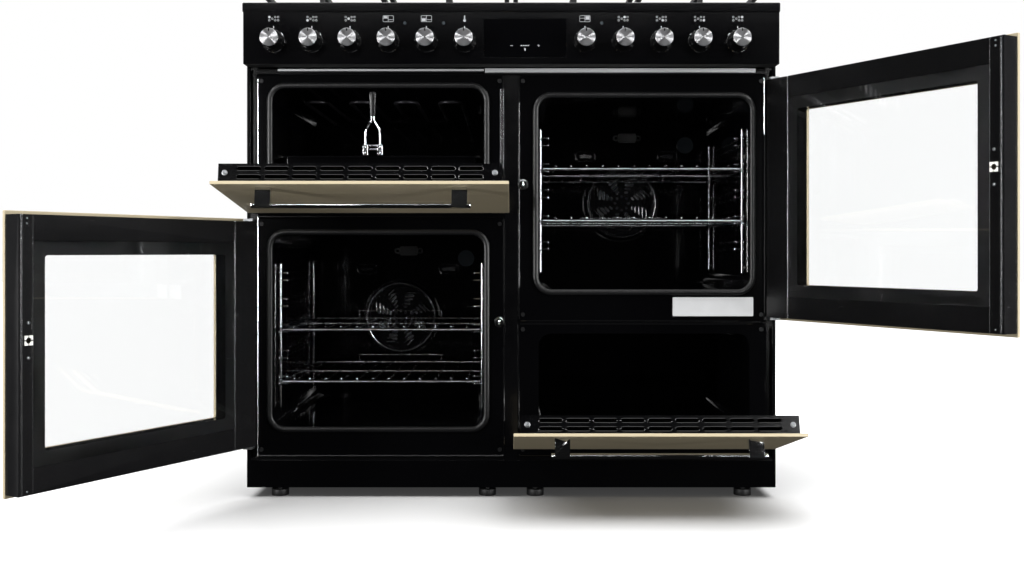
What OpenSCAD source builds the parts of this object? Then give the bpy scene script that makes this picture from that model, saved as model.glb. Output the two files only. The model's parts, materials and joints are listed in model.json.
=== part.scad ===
// Range cooker with two ovens, a grill compartment and a storage compartment.
// Millimetres. X runs to the right, Y to the back, Z up. The floor is Z = 0, and the origin
// is under the middle of the space that the cooker takes with its doors open.
// Doors are drawn open, about hinges that also carry them shut against the seals.

/* [Body] */
// Width over the side panels
body_w = 1003; // [980:1:1040]
// Depth from the front of the shut doors to the rear cover
body_d = 600; // [560:1:640]
// Height of the hob's upper surface above the floor
hob_z = 930; // [925:1:950]
// How far the front of the shut doors lies ahead of the origin
front_ahead = 110; // [90:1:130]
// Sheet steel of panels and covers
sheet = 1.5; // [1.2:0.1:2]
// Height of the plinth's upper edge
plinth_top = 72; // [60:1:74]
// Height of the plinth's lower edge
plinth_foot = 20; // [15:1:30]
// Width of the pillar between the left and right compartments
pillar_w = 24; // [20:1:24]
// Radius of a foot
foot_r = 16.5; // [12:0.5:20]
// Thickness of a foot's pad
foot_pad = 12; // [8:0.5:14]
// Distance of the outer feet inside the body's side
foot_inset = 56.5; // [42:0.5:80]
// Distance of the inner feet from the middle
foot_inner_x = 46; // [30:1:80]

/* [Compartments] */
// How far a compartment's middle lies outside the middle of its flange
bay_shift = 4; // [2:0.5:6]
// Width of the flange at the sides of an opening, on average
jamb = 35; // [33:0.5:45]
// Flanges' lower edge above the plinth
bay_foot = 6; // [4:1:12]
// Flanges' upper edge under the fascia
bay_head = 11; // [8:1:16]
// Bottom edge of the left oven's opening above its flange
oven_sill = 58; // [54:1:60]
// Bottom edge of the grill's opening above its flange
grill_sill = 31; // [29:1:33]
// Bottom edge of the storage opening above its flange
store_sill = 37; // [35:1:40]
// Flange above the left oven's opening
left_oven_head = 35; // [30:1:40]
// Flange above the right oven's opening
right_oven_head = 46; // [40:1:50]
// Flange above the grill's opening
grill_head = 28; // [25:1:34]
// Flange above the storage opening
store_head = 22; // [20:1:28]
// Room behind the compartments and ahead of the seals, in the body's depth
bay_room = 160; // [150:1:170]
// Radius of the openings' corners
bay_r = 24; // [12:1:30]
// Width of the door seals
seal_w = 11; // [8:0.5:13]
// Thickness of the liners' enamelled sheet
wall = 2; // [1.5:0.1:3]

/* [Doors] */
// Thickness of a shut door
door_t = 36; // [32:0.5:38]
// Gap that the seals fill behind a shut door
seal_gap = 7; // [6:0.5:9]
// Thickness of a door's outer panel
skin_t = 5.5; // [4:0.5:8]
// Distance of a door's inner edge from the middle
door_x0 = 4; // [3:0.5:6]
// Distance of a door's outer edge inside the body's side
door_inset = 4.5; // [3:0.5:6]
// Gap between two doors, one above the other
door_gap = 8; // [6:0.5:12]
// Lower edge of the bottom doors above the flanges
door_foot = 17; // [14:0.5:22]
// Upper edge of the top doors under the flanges
door_head = 8; // [5:0.5:12]
// How far the side-hung doors stand open in degrees
swing_open = 121; // [90:1:121]
// How far the grill door stands open in degrees
grill_open = 81.5; // [70:0.5:84]
// How far the storage door stands open in degrees
store_open = 74.5; // [70:0.5:84]
// Thickness of the panes
pane_t = 4; // [3:0.5:5]
// Overlap of a pane behind the edges of its window
window_edge = 22; // [15:0.5:24]
// Distance of a window from the free edge of its door
window_free = 48; // [46:0.5:56]
// Distance of a window from the hinged edge of its door
window_hinged = 75; // [70:0.5:85]
// Border above and below a door's window
window_head = 68; // [60:1:76]
// Length of a handle's bar
handle_l = 366; // [340:1:372]
// How far a handle stands off its door
handle_off = 35; // [30:1:36]
// Thickness of a handle's bar
handle_bar = 10; // [8:0.5:12]
// Width of a handle's bracket
handle_foot = 26; // [20:1:32]

/* [Controls] */
// Depth of the hob tray
hob_t = 18; // [14:1:24]
// Height of the control fascia
fascia_h = 96; // [92:1:99]
// Knobs' axes under the hob's upper surface
knob_drop = 72; // [66:1:78]
// Distance of the first knob from the body's left side
knob_left = 60.3; // [55:0.1:65]
// Distance of the last knob from the body's right side
knob_right = 81.2; // [75:0.1:85]
// Gap between the two groups of knobs, in distances between neighbouring knobs
knob_gap = 3.151; // [3:0.001:3.3]
// Radius of a knob's grip
knob_r = 17.1; // [15:0.1:19]
// Radius of a knob's skirt
skirt_r = 21; // [20:0.1:24]
// How far a knob stands off the fascia
knob_l = 42; // [36:1:44]
// Radius of a control's spindle
spindle_r = 4; // [3:0.1:5]
// Free space round a spindle in its knob
spindle_fit = 0.1; // [0.05:0.01:0.2]
// Lower edge of the display under the knobs' axes
display_drop = 29; // [24:1:32]
// Height of the display
display_h = 71; // [60:1:74]
// Distance of the display from the axes of the knobs beside it
display_clear = 35.7; // [30:0.1:40]

/* [Cooking] */
// Distance of the pan supports from the hob's sides
grid_margin = 21.5; // [18:0.5:30]
// Distance of the pan supports from the hob's front and back, both together
grid_room = 100; // [90:1:120]
// Height of the pan supports above the hob
grid_h = 34; // [30:1:40]
// Radius of the fan covers
fan_r = 88; // [80:1:95]
// Radius of the fans
blade_r = 62; // [55:1:66]
// Radius of the shelves' rails
rail_r = 2.8; // [2.4:0.1:3.2]
// Radius of the thin wires
wire_r = 1.5; // [1.2:0.1:1.8]
// Distance between neighbouring shelf wires
wire_pitch = 30.3; // [28:0.1:31]
// Room ahead of a shelf and behind it, both together
shelf_room = 70; // [66:1:90]
// Height of the lowest shelf level above the cavity's floor
shelf_z = 76; // [70:1:80]
// Distance between neighbouring shelf levels
shelf_pitch = 50; // [44:1:51]
// Height of the grill pan's runners above the compartment's floor
pan_z = 82; // [80:1:90]
// Depth of the grill pan's basin
pan_h = 32; // [25:1:36]
// Room ahead of the grill pan and behind it, both together
pan_room = 110; // [90:1:140]

/* [Hidden] */
$fn = 36;
eps = 0.01;

// Planes of the body
front_y = -front_ahead;
flange_y = front_y + door_t + seal_gap;
rear_y = front_y + body_d;
side_x = body_w / 2;
top_z = hob_z - hob_t;
fascia_z0 = top_z - fascia_h;
panel_in_x = side_x - sheet;
flange_x1 = side_x - 18.5;
flange_x0 = pillar_w / 2 + 1;
bay_d = body_d - bay_room;
back_y = flange_y + sheet;
cavity_back_y = flange_y + bay_d;
post_y = back_y + 26;

// Compartment openings; each oven's takes nearly half of the height
sill_rise = 4;
oven_slack = 0.5;
bay_x = (flange_x0 + flange_x1) / 2 + bay_shift;
bay_w = flange_x1 - flange_x0 - 2 * jamb;
bay_z0 = plinth_top + bay_foot;
bay_z1 = fascia_z0 - bay_head;
oven_h = (bay_z1 - bay_z0) / 2 - oven_slack;
split_left = bay_z0 + oven_sill + oven_h + left_oven_head;
split_right = bay_z1 - right_oven_head - oven_h - oven_sill - sill_rise;
grill_h = bay_z1 - grill_head - split_left - grill_sill;
store_h = split_right - store_head - bay_z0 - store_sill;
left_z0 = bay_z0 + oven_sill;
right_z0 = split_right + oven_sill + sill_rise;
grill_z0 = split_left + grill_sill;
store_z0 = bay_z0 + store_sill;
bay_x0 = bay_x - bay_w / 2;
bay_x1 = bay_x + bay_w / 2;

// Doors, shut
door_x1 = side_x - door_inset;
door_z0 = bay_z0 + door_foot;
door_z1 = bay_z1 - door_head;
left_door_z1 = split_left - door_gap / 2;
grill_door_z0 = split_left + door_gap / 2;
right_door_z0 = split_right + door_gap / 2;
store_door_z1 = split_right - door_gap / 2;
skin_y = front_y + skin_t;
inner_y = front_y + door_t;
step = 6;
pin_x = side_x - 10.5;
pin_y = front_y + 28;
pin_r = 3;
pin_fit = 0.08;
pin_l = 12;
drop_y = front_y + 14;
drop_rise = 19;
drop_inset = 12;
catch_x = 22.5;
catch_r = 5;
catch_l = 12;
fit = 0.3;

// Shelves and ladders
ladder_r = 2.5;
ladder_x = bay_w / 2 - 2 - ladder_r;
bite = 0.5;
rung_x = ladder_x - ladder_r - wire_r + bite;
rung_gap = 14;
shelf_x = ladder_x - ladder_r - rail_r - fit;
shelf_lift = wire_r + rail_r - 0.2;
shelf_y = flange_y + 34;
shelf_d = bay_d - shelf_room;
ladder_y0 = flange_y + 46;
ladder_y1 = cavity_back_y - 50;

// Drawing helpers
module block(x0, x1, y0, y1, z0, z1) {
    translate([x0, y0, z0])
        cube([x1 - x0, y1 - y0, z1 - z0]);
}

module rod_x(x0, x1, y, z, r) {
    translate([x0, y, z])
        rotate([0, 90, 0])
            cylinder(h = x1 - x0, r = r);
}

module rod_y(x, y0, y1, z, r) {
    translate([x, y1, z])
        rotate([90, 0, 0])
            cylinder(h = y1 - y0, r = r);
}

module rod_z(x, y, z0, z1, r) {
    translate([x, y, z0])
        cylinder(h = z1 - z0, r = r);
}

// Rounded rectangle seen from the front, from x0 to x1 and z0 to z1, through y0 to y1
module tablet(x0, x1, y0, y1, z0, z1, r) {
    translate([0, y1, 0])
        rotate([90, 0, 0])
            linear_extrude(y1 - y0) {
                translate([x0 + r, z0])
                    square([x1 - x0 - 2 * r, z1 - z0]);
                translate([x0, z0 + r])
                    square([x1 - x0, z1 - z0 - 2 * r]);
                for (x = [x0 + r, x1 - r], z = [z0 + r, z1 - r])
                    translate([x, z])
                        circle(r);
            }
}

// Rounded rectangle seen from above, from x0 to x1 and y0 to y1, through z0 to z1
module tile(x0, x1, y0, y1, z0, z1, r) {
    translate([0, 0, z0])
        linear_extrude(z1 - z0) {
            translate([x0 + r, y0])
                square([x1 - x0 - 2 * r, y1 - y0]);
            translate([x0, y0 + r])
                square([x1 - x0, y1 - y0 - 2 * r]);
            for (x = [x0 + r, x1 - r], y = [y0 + r, y1 - r])
                translate([x, y])
                    circle(r);
        }
}

// Children are drawn for the right-hand side, and mirrored for side = -1
module on_side(side) {
    if (side < 0)
        mirror([1, 0, 0])
            children();
    else
        children();
}

// Turns a shut side-hung door to where it stands open
module swung(side) {
    on_side(side)
        translate([pin_x, pin_y, 0])
            rotate([0, 0, swing_open])
                translate([-pin_x, -pin_y, 0])
                    children();
}

// Turns a shut drop-down door, whose lower edge is at z0, to where it stands open
module dropped(side, z0, angle) {
    on_side(side)
        translate([0, drop_y, z0 + drop_rise])
            rotate([angle, 0, 0])
                translate([0, -drop_y, -z0 - drop_rise])
                    children();
}

// Body
post_w = 14;
rear_post_d = 25;
pillar_foot = 25;
rail_gap = 8;
rail_d = 12;
rail_set = 0.5;
sill_rail_h = 25;
head_rail_h = 18;
top_rail_h = 20;
brace_h = 30;
brace_t = 4;
channel_d = 10;
fascia_gap = 2;
base_t = 4;
rear_in_y = rear_y - sheet;
base_z = plinth_top + base_t;
lip_w = 6.5;
screw_r = 2;
screw_inset = 9;
screw_rise = 14;

// Where the screws of one compartment's flange go, from z0 to z1
module at_flange_screws(side, z0, z1) {
    for (x = [flange_x0 + screw_inset, flange_x1 - screw_inset], z = [z0 + screw_rise, z1 - screw_rise])
        translate([side * x, 0, z])
            children();
}

// Children at the screws of all four flanges
module at_all_screws() {
    at_flange_screws(-1, bay_z0, split_left)
        children();
    at_flange_screws(-1, split_left, bay_z1)
        children();
    at_flange_screws(1, bay_z0, split_right)
        children();
    at_flange_screws(1, split_right, bay_z1)
        children();
}

module screw_shafts(r) {
    at_all_screws()
        rod_y(0, flange_y - eps, back_y + 8, 0, r);
}

// Welded frame: base tray, posts, pillar and rails
module chassis() {
    color("#26262a")
        difference() {
            union() {
                block(-panel_in_x, panel_in_x, back_y, rear_in_y, plinth_top, base_z);
                for (side = [-1, 1])
                    on_side(side) {
                        block(flange_x1 - post_w, flange_x1, back_y, post_y, plinth_top, fascia_z0 - fascia_gap);
                        block(flange_x1 - eps, panel_in_x, flange_y + channel_d, post_y, plinth_top, top_z);
                        block(flange_x1 - post_w, panel_in_x, rear_in_y - rear_post_d, rear_in_y, plinth_top,
                            top_z);
                        block(panel_in_x - brace_t, panel_in_x, back_y + channel_d, rear_in_y,
                            top_z - top_rail_h, top_z);
                    }
                block(-pillar_w / 2, pillar_w / 2, flange_y, post_y, plinth_top, bay_z1);
                block(-pillar_foot, pillar_foot, back_y, post_y, plinth_top, fascia_z0 - fascia_gap);
                block(-pillar_foot, pillar_foot, rear_in_y - rear_post_d, rear_in_y, plinth_top, top_z);
                block(2 - panel_in_x, 0, back_y, back_y + rail_d, left_z0 + oven_h + wall + rail_gap,
                    grill_z0 - wall - rail_gap);
                block(0, panel_in_x - 2, back_y, back_y + rail_d, store_z0 + store_h + wall + rail_gap,
                    right_z0 - wall - rail_gap);
                block(-flange_x1, flange_x1, back_y + rail_set, back_y + rail_d, bay_z1 - head_rail_h,
                    fascia_z0 - fascia_gap);
                block(-flange_x1, flange_x1, back_y, back_y + rail_d, plinth_top, bay_z0 + sill_rail_h);
                block(-flange_x1, flange_x1, rear_in_y - rear_post_d, rear_in_y, top_z - brace_h, top_z);
                block(2 - panel_in_x, panel_in_x - 2, post_y - rail_d, post_y, top_z - top_rail_h, top_z);
            }
            screw_shafts(screw_r + 0.1);
        }
}

module plinth() {
    color("#141416")
        difference() {
            block(-side_x, side_x, flange_y, flange_y + rail_d, plinth_foot, plinth_top);
            block(-side_x + sheet, side_x - sheet, flange_y + sheet, flange_y + rail_d + 1,
                plinth_foot + sheet, plinth_top - sheet);
        }
}

module side_panels() {
    color("#17171a")
        for (side = [-1, 1])
            on_side(side)
                difference() {
                    union() {
                        block(panel_in_x, side_x, flange_y, rear_y - sheet, plinth_foot, top_z);
                        block(side_x - lip_w, side_x, flange_y, back_y, plinth_top, fascia_z0 - fascia_gap);
                    }
                    block(panel_in_x - 1, side_x + 1, flange_y - 1, flange_y + rail_d,
                        plinth_foot - 1, plinth_top);
                }
}

vent_n = 9;
vent_w = 60;
vent_h = 5;
vent_pitch = 14;
vent_x = 90;
vent_z = top_z - 352;
inlet_x = side_x - 81.5;
inlet_z = hob_z - 80;
inlet_r = 10.48;
inlet_l = 20;
inlet_hole = 4;
inlet_flange = 8;

module rear_cover() {
    color("#8d9093")
        difference() {
            block(-side_x, side_x, rear_y - sheet, rear_y, plinth_top, top_z);
            for (i = [0 : vent_n - 1], x = [-bay_x - vent_x, vent_x - bay_x, bay_x - vent_x, bay_x + vent_x])
                tablet(x - vent_w / 2, x + vent_w / 2, rear_y - sheet - 1, rear_y + 1,
                    vent_z + vent_pitch * i, vent_z + vent_pitch * i + vent_h, vent_h / 2 - 0.1);
            rod_y(inlet_x, rear_y - sheet - 1, rear_y + 1, inlet_z, inlet_r + inlet_hole);
        }
}

module gas_inlet() {
    color("#b08d4a")
        union() {
            rod_y(inlet_x, rear_y, rear_y + inlet_l, inlet_z, inlet_r);
            rod_y(inlet_x, rear_y - sheet - 30, rear_y, inlet_z, inlet_r - 2);
            rod_y(inlet_x, rear_in_y - inlet_flange, rear_in_y, inlet_z, inlet_r + 6);
        }
}

hob_x = side_x - 2;

module hob_tray() {
    color("#111114")
        difference() {
            block(-hob_x, hob_x, front_y - 2, rear_y, top_z, hob_z);
            block(2 * sheet - hob_x, hob_x - 2 * sheet, front_y + sheet, rear_y - 2 * sheet,
                top_z - 1, hob_z - 2 * sheet);
        }
}

// Knobs' places: six on the left and five on the right
knob_z = hob_z - knob_drop;
knob_pitch = (body_w - knob_left - knob_right) / (9 + knob_gap);
knob_first_x = knob_left - side_x;
knob_seventh_x = side_x - knob_right - 4 * knob_pitch;

function knob_x(i) = i < 6 ? knob_first_x + knob_pitch * i : knob_seventh_x + knob_pitch * (i - 6);

fascia_x = side_x - 3.5;
display_z0 = knob_z - display_drop;
display_x = (knob_x(5) + knob_x(6)) / 2 + 0.7;
display_w = knob_x(6) - knob_x(5) - 2 * display_clear;

module fascia() {
    color("#101013")
        difference() {
            block(-fascia_x, fascia_x, front_y, flange_y + channel_d, fascia_z0, top_z);
            block(-fascia_x + sheet, fascia_x - sheet, front_y + sheet, flange_y + channel_d + 1,
                fascia_z0 + sheet, top_z + 1);
            for (i = [0 : 10])
                rod_y(knob_x(i), front_y - 1, front_y + sheet + 1, knob_z, spindle_r + 2);
            block(display_x - display_w / 2 - fit, display_x + display_w / 2 + fit, front_y - 1,
                front_y + sheet + 1, display_z0 - fit, display_z0 + display_h + fit);
            for (x = pilot_x)
                rod_y(x, front_y - 1, front_y + sheet + 1, pilot_z, pilot_r + 0.1);
        }
}

module display_glass() {
    color("#050507")
        block(display_x - display_w / 2, display_x + display_w / 2, front_y - 0.5, front_y + 3,
            display_z0, display_z0 + display_h);
}

pilot_z = knob_z + 33.7;
pilot_r = 3;
pilot_x = [knob_x(3) + 30.9, knob_x(4) + 32, knob_x(6) + 31.1];
tap_w = 28;
tap_d = 44;
manifold_r = 8;
manifold_y = front_y + sheet + tap_d + manifold_r - 0.5;

module control_taps() {
    color("#b7a06a") {
        for (i = [0 : 10])
            union() {
                rod_y(knob_x(i), front_y - 24, front_y + sheet + 2, knob_z, spindle_r);
                block(knob_x(i) - tap_w / 2, knob_x(i) + tap_w / 2, front_y + sheet, front_y + sheet + tap_d,
                    knob_z - tap_w / 2, knob_z + tap_w / 2);
            }
        difference() {
            rod_x(knob_x(0) - 20, knob_x(10) + 20, manifold_y, knob_z, manifold_r);
            rod_x(knob_x(0) - 21, knob_x(10) + 15, manifold_y, knob_z, manifold_r - 2);
        }
    }
}

module vent_trim() {
    color("#c9cacc") {
        block(-bay_x1 + 10, -bay_x0, flange_y - 6, back_y, fascia_z0 - 7, fascia_z0 - 3);
        block(-bay_x0 + 2, bay_x1 + 10, flange_y - 8, back_y, fascia_z0 - 10, fascia_z0 - 2);
    }
}

// Compartments
fan_rise = [left_z0 + oven_h / 2, right_z0 + oven_h / 2];
cover_d = 28;
cover_t = 1.5;
slot_n = 18;
shaft_r = 4;
element_r = 3.3;
element_ring = fan_r - 12;
element_end_x = 12;
element_gap = asin(element_end_x / element_ring);
element_end_z = element_ring * cos(element_gap);
lamp_r = 19;
lamp_x = bay_x + bay_w / 2 - 52;
lamp_rise = oven_h - 47;
lamp_side_x = bay_w / 2 - bay_x - 52;
end_gap = 0.4;

// Enamelled box with a flange, without its bores; the opening starts at z0 and is h high
module liner_shell(z0, h, flange_z0, flange_z1) {
    difference() {
        union() {
            tablet(flange_x0, flange_x1, flange_y, back_y, flange_z0, flange_z1, 3);
            tablet(bay_x0 - wall, bay_x1 + wall, flange_y, cavity_back_y + wall, z0 - wall, z0 + h + wall,
                bay_r + wall);
        }
        tablet(bay_x0, bay_x1, flange_y - 1, cavity_back_y, z0, z0 + h, bay_r);
    }
}

// Bores in an oven's back wall for the fan's shaft and the ring element
module oven_bores(z) {
    rod_y(bay_x, cavity_back_y - 1, cavity_back_y + wall + 1, z, shaft_r + 3);
    for (x = [-element_end_x, element_end_x])
        rod_y(bay_x + x, cavity_back_y - 1, cavity_back_y + wall + 1, z + element_end_z,
            element_r + end_gap);
}

module oven_liner(side, z0, flange_z0, flange_z1, z_fan) {
    color("#0c0c0e")
        difference() {
            on_side(side)
                difference() {
                    liner_shell(z0, oven_h, flange_z0, flange_z1);
                    oven_bores(z_fan);
                }
            screw_shafts(screw_r + 0.1);
        }
}

module left_oven_liner() {
    oven_liner(-1, left_z0, bay_z0, split_left - 1, fan_rise[0]);
}

module right_oven_liner() {
    oven_liner(1, right_z0, split_right + 1, bay_z1, fan_rise[1]);
}

runner_w = 8;
runner_t = 3;
grill_loops = 4;
loop_r = 22;
grill_tube_z = grill_z0 + grill_h - 16;
grill_end_x = bay_x - loop_r * (2 * grill_loops - 1);
grill_end_x2 = bay_x + loop_r * (2 * grill_loops - 1);

module grill_liner() {
    color("#0c0c0e")
        difference() {
            on_side(-1)
                union() {
                    difference() {
                        liner_shell(grill_z0, grill_h, split_left + 1, bay_z1);
                        for (x = [grill_end_x, grill_end_x2])
                            rod_y(x, cavity_back_y - 1, cavity_back_y + wall + 1, grill_tube_z,
                                element_r + end_gap);
                    }
                    for (x = [bay_x0 - eps, bay_x1 - runner_w])
                        block(x, x + runner_w + eps, flange_y + 12, cavity_back_y - 20,
                            grill_z0 + pan_z - runner_t, grill_z0 + pan_z);
                }
            screw_shafts(screw_r + 0.1);
        }
}

module storage_liner() {
    color("#0c0c0e")
        difference() {
            liner_shell(store_z0, store_h, bay_z0, split_right - 1);
            screw_shafts(screw_r + 0.1);
        }
}

seal_t = seal_gap - fit;

module seal_ring(z0, h) {
    color("#3a3a3c")
        difference() {
            tablet(bay_x0 - seal_w, bay_x1 + seal_w, flange_y - seal_t, flange_y, z0 - seal_w, z0 + h + seal_w,
                bay_r + seal_w);
            tablet(bay_x0 - bite, bay_x1 + bite, flange_y - seal_t - 1, flange_y + 1, z0 - bite,
                z0 + h + bite, bay_r + bite);
        }
}

module door_seals() {
    on_side(-1)
        seal_ring(left_z0, oven_h);
    seal_ring(right_z0, oven_h);
    on_side(-1)
        difference() {
            seal_ring(grill_z0, grill_h);
            block(0, side_x, flange_y - seal_t - 2, flange_y + 2, grill_z0 - seal_w - 1, grill_z0 + 6);
        }
}

// One wire ladder at the right wall of an oven whose floor is at z0
module ladder(z0) {
    x = bay_x + ladder_x;
    union() {
        for (y = [ladder_y0, ladder_y1]) {
            rod_z(x, y, z0 + shelf_z - 45, z0 + shelf_z + 4 * shelf_pitch + 32, ladder_r);
            for (z = [z0 + shelf_z - 36, z0 + shelf_z + 4 * shelf_pitch + 24])
                rod_x(x, bay_x1, y, z, 2);
        }
        for (level = [0 : 4], rise = [0, rung_gap])
            rod_y(bay_x + rung_x, ladder_y0 - 8, ladder_y1 + 8, z0 + shelf_z + shelf_pitch * level + rise,
                wire_r);
    }
}

// Ladders at both walls of an oven
module ladder_pair(z0) {
    color("#c8cacc") {
        ladder(z0);
        translate([2 * bay_x, 0, 0])
            mirror([1, 0, 0])
                ladder(z0);
    }
}

module shelf_ladders() {
    on_side(-1)
        ladder_pair(left_z0);
    ladder_pair(right_z0);
}

// Round cover with slanting slots over a fan at height z
module fan_cover(z) {
    translate([bay_x, cavity_back_y, z])
        rotate([90, 0, 0])
            difference() {
                cylinder(h = cover_d, r = fan_r);
                translate([0, 0, -1])
                    cylinder(h = cover_d + 1 - cover_t, r = fan_r - cover_t);
                for (i = [0 : slot_n - 1])
                    rotate([0, 0, i * 360 / slot_n])
                        translate([fan_r * 0.6, 0, cover_d - cover_t - 1])
                            rotate([0, 0, 40])
                                translate([-17, -2.5, 0])
                                    cube([34, 5, cover_t + 2]);
                for (i = [0 : slot_n / 2 - 1])
                    rotate([0, 0, i * 720 / slot_n])
                        translate([fan_r * 0.2, -2, cover_d - cover_t - 1])
                            cube([fan_r * 0.16, 4, cover_t + 2]);
            }
}

module fan_covers() {
    color("#141416") {
        on_side(-1)
            fan_cover(fan_rise[0]);
        fan_cover(fan_rise[1]);
    }
}

motor_r = 36;
motor_l = 58;
fan_front = 21;

module fan_motor(z) {
    union() {
        rod_y(bay_x, cavity_back_y + wall, cavity_back_y + wall + motor_l, z, motor_r);
        rod_y(bay_x, cavity_back_y - fan_front, cavity_back_y + wall + 1, z, shaft_r);
    }
}

module fan_motors() {
    color("#6c6e72") {
        on_side(-1)
            fan_motor(fan_rise[0]);
        fan_motor(fan_rise[1]);
    }
}

blade_n = 8;
blade_w = 12;

module fan(z) {
    color("#9a9ca0")
        translate([bay_x, cavity_back_y - 5, z])
            rotate([90, 0, 0])
                difference() {
                    union() {
                        cylinder(h = 2, r = blade_r - 6);
                        cylinder(h = fan_front - 6, r = 11);
                        for (i = [0 : blade_n - 1])
                            rotate([0, 0, i * 360 / blade_n])
                                translate([blade_r * 0.45, -1, 1])
                                    cube([blade_r * 0.55, 2, blade_w]);
                    }
                    translate([0, 0, -1])
                        cylinder(h = fan_front, r = shaft_r + pin_fit);
                }
}

module left_fan() {
    on_side(-1)
        fan(fan_rise[0]);
}

module right_fan() {
    fan(fan_rise[1]);
}

// Ring element round a fan, open at the top, with its ends through the back wall
module fan_element(z) {
    y = cavity_back_y - cover_d / 2;
    union() {
        translate([bay_x, y, z])
            rotate([90, 0, 0])
                rotate([0, 0, 90 + element_gap])
                    rotate_extrude(angle = 360 - 2 * element_gap)
                        translate([element_ring, 0])
                            circle(element_r);
        for (x = [-element_end_x, element_end_x])
            rod_y(bay_x + x, y, cavity_back_y + wall + 20, z + element_end_z, element_r);
        for (x = [-element_end_x, element_end_x])
            translate([bay_x + x, y, z + element_end_z])
                sphere(element_r + 0.7);
    }
}

module fan_elements() {
    color("#57585c") {
        on_side(-1)
            fan_element(fan_rise[0]);
        fan_element(fan_rise[1]);
    }
}

module lamp_lenses() {
    color("#e6e8ea") {
        for (place = [[lamp_side_x, left_z0], [lamp_x, right_z0]])
            rod_y(place[0], cavity_back_y - 9, cavity_back_y, place[1] + lamp_rise, lamp_r);
        for (x = pilot_x)
            rod_y(x, front_y - 1.5, front_y + sheet + 4, pilot_z, pilot_r);
    }
}

// Half turn of the grill element, from x to the next run; facing = 1 bulges to the back
module grill_bend(x, y, facing) {
    translate([x + loop_r, y, grill_tube_z])
        rotate([0, 0, facing > 0 ? 0 : 180])
            rotate_extrude(angle = 180)
                translate([loop_r, 0])
                    circle(element_r);
}

module grill_element() {
    run_y0 = flange_y + 70 + loop_r;
    run_y1 = cavity_back_y - 60 - loop_r;
    runs = 2 * grill_loops;
    color("#4c4c50")
        on_side(-1)
            union() {
                for (i = [0 : runs - 1]) {
                    outer = i == 0 || i == runs - 1;
                    rod_y(grill_end_x + 2 * loop_r * i, run_y0, outer ? cavity_back_y + wall + 20 : run_y1,
                        grill_tube_z, element_r);
                }
                for (i = [0 : runs - 2])
                    grill_bend(grill_end_x + 2 * loop_r * i, i % 2 == 0 ? run_y0 : run_y1, i % 2 == 0 ? -1 : 1);
            }
}

// Hob
hob_y = front_y + body_d / 2;
small_burner_r = 38;
wok_burner_r = 62;
burner_h = 14;
cap_h = 7;
grid_pitch = (body_w - 2 * grid_margin) / 4;
grid_d = body_d - grid_room;
burner_y = grid_d / 4 + 3;
column_x = [-1.5 * grid_pitch, -0.5 * grid_pitch, 0.5 * grid_pitch, 1.5 * grid_pitch];
wok_column = 1;

// Children at each burner, with its radius in $burner_r
module at_burners() {
    for (i = [0 : 3], side = i == wok_column ? [0] : [-1, 1])
        translate([column_x[i], hob_y + side * burner_y, 0]) {
            $burner_r = i == wok_column ? wok_burner_r : small_burner_r;
            children();
        }
}

module burners() {
    color("#55565a")
        at_burners()
            rotate_extrude()
                polygon([[0, hob_z], [$burner_r, hob_z], [$burner_r, hob_z + 3], [$burner_r * 0.85, hob_z + 5],
                    [$burner_r * 0.8, hob_z + burner_h], [0, hob_z + burner_h]]);
}

module burner_caps() {
    color("#1a1a1c")
        at_burners()
            rotate_extrude()
                polygon([[0, hob_z + burner_h], [$burner_r * 0.72, hob_z + burner_h],
                    [$burner_r * 0.76, hob_z + burner_h + 2], [$burner_r * 0.74, hob_z + burner_h + cap_h - 1],
                    [$burner_r * 0.66, hob_z + burner_h + cap_h], [0, hob_z + burner_h + cap_h]]);
}

bar_w = 9;
bar_h = 10;
grid_w = grid_pitch - 8;
finger_gap = 16;

// Cast pan support over one column of burners, rear and front for two, or one in the middle
module pan_support(x, places) {
    z0 = hob_z + grid_h - bar_h;
    z1 = hob_z + grid_h;
    y0 = hob_y - grid_d / 2;
    y1 = hob_y + grid_d / 2;
    union() {
        difference() {
            tile(x - grid_w / 2, x + grid_w / 2, y0, y1, z0, z1, 14);
            tile(x - grid_w / 2 + bar_w, x + grid_w / 2 - bar_w, y0 + bar_w, y1 - bar_w, z0 - 1, z1 + 1, 6);
        }
        for (foot = [[x, y0 + bar_w / 2], [x, y1 - bar_w / 2], [x - grid_w / 2 + bar_w / 2, hob_y],
            [x + grid_w / 2 - bar_w / 2, hob_y]])
            block(foot[0] - bar_w / 2, foot[0] + bar_w / 2, foot[1] - bar_w / 2, foot[1] + bar_w / 2,
                hob_z, z0 + 1);
        for (y = places) {
            for (side = [-1, 1])
                block(min(x + side * finger_gap, x + side * (grid_w / 2 - 1)),
                    max(x + side * finger_gap, x + side * (grid_w / 2 - 1)), y - bar_w / 2, y + bar_w / 2,
                    z0, z1);
            block(x - bar_w / 2, x + bar_w / 2, max(y - burner_y, y0), y - finger_gap, z0, z1);
            block(x - bar_w / 2, x + bar_w / 2, y + finger_gap, min(y + burner_y, y1), z0, z1);
        }
        if (len(places) == 1)
            for (end = [[y0, y0 + burner_y], [y1 - burner_y, y1]])
                block(x - bar_w / 2, x + bar_w / 2, end[0], end[1], z0, z1);
        else
            block(x - grid_w / 2 + 1, x + grid_w / 2 - 1, hob_y - bar_w / 2, hob_y + bar_w / 2, z0, z1);
    }
}

module pan_supports() {
    color("#1c1c1e")
        for (i = [0 : 3])
            if (i == wok_column)
                pan_support(column_x[i], [hob_y]);
            else
                pan_support(column_x[i], [hob_y - burner_y, hob_y + burner_y]);
}

// Fasteners, catches, hinge brackets and feet
stud_left_z = (door_z0 + left_door_z1) / 2 + 21.5;
stud_right_z = (right_door_z0 + door_z1) / 2 + 27.5;
stud_r = 10;

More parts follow.
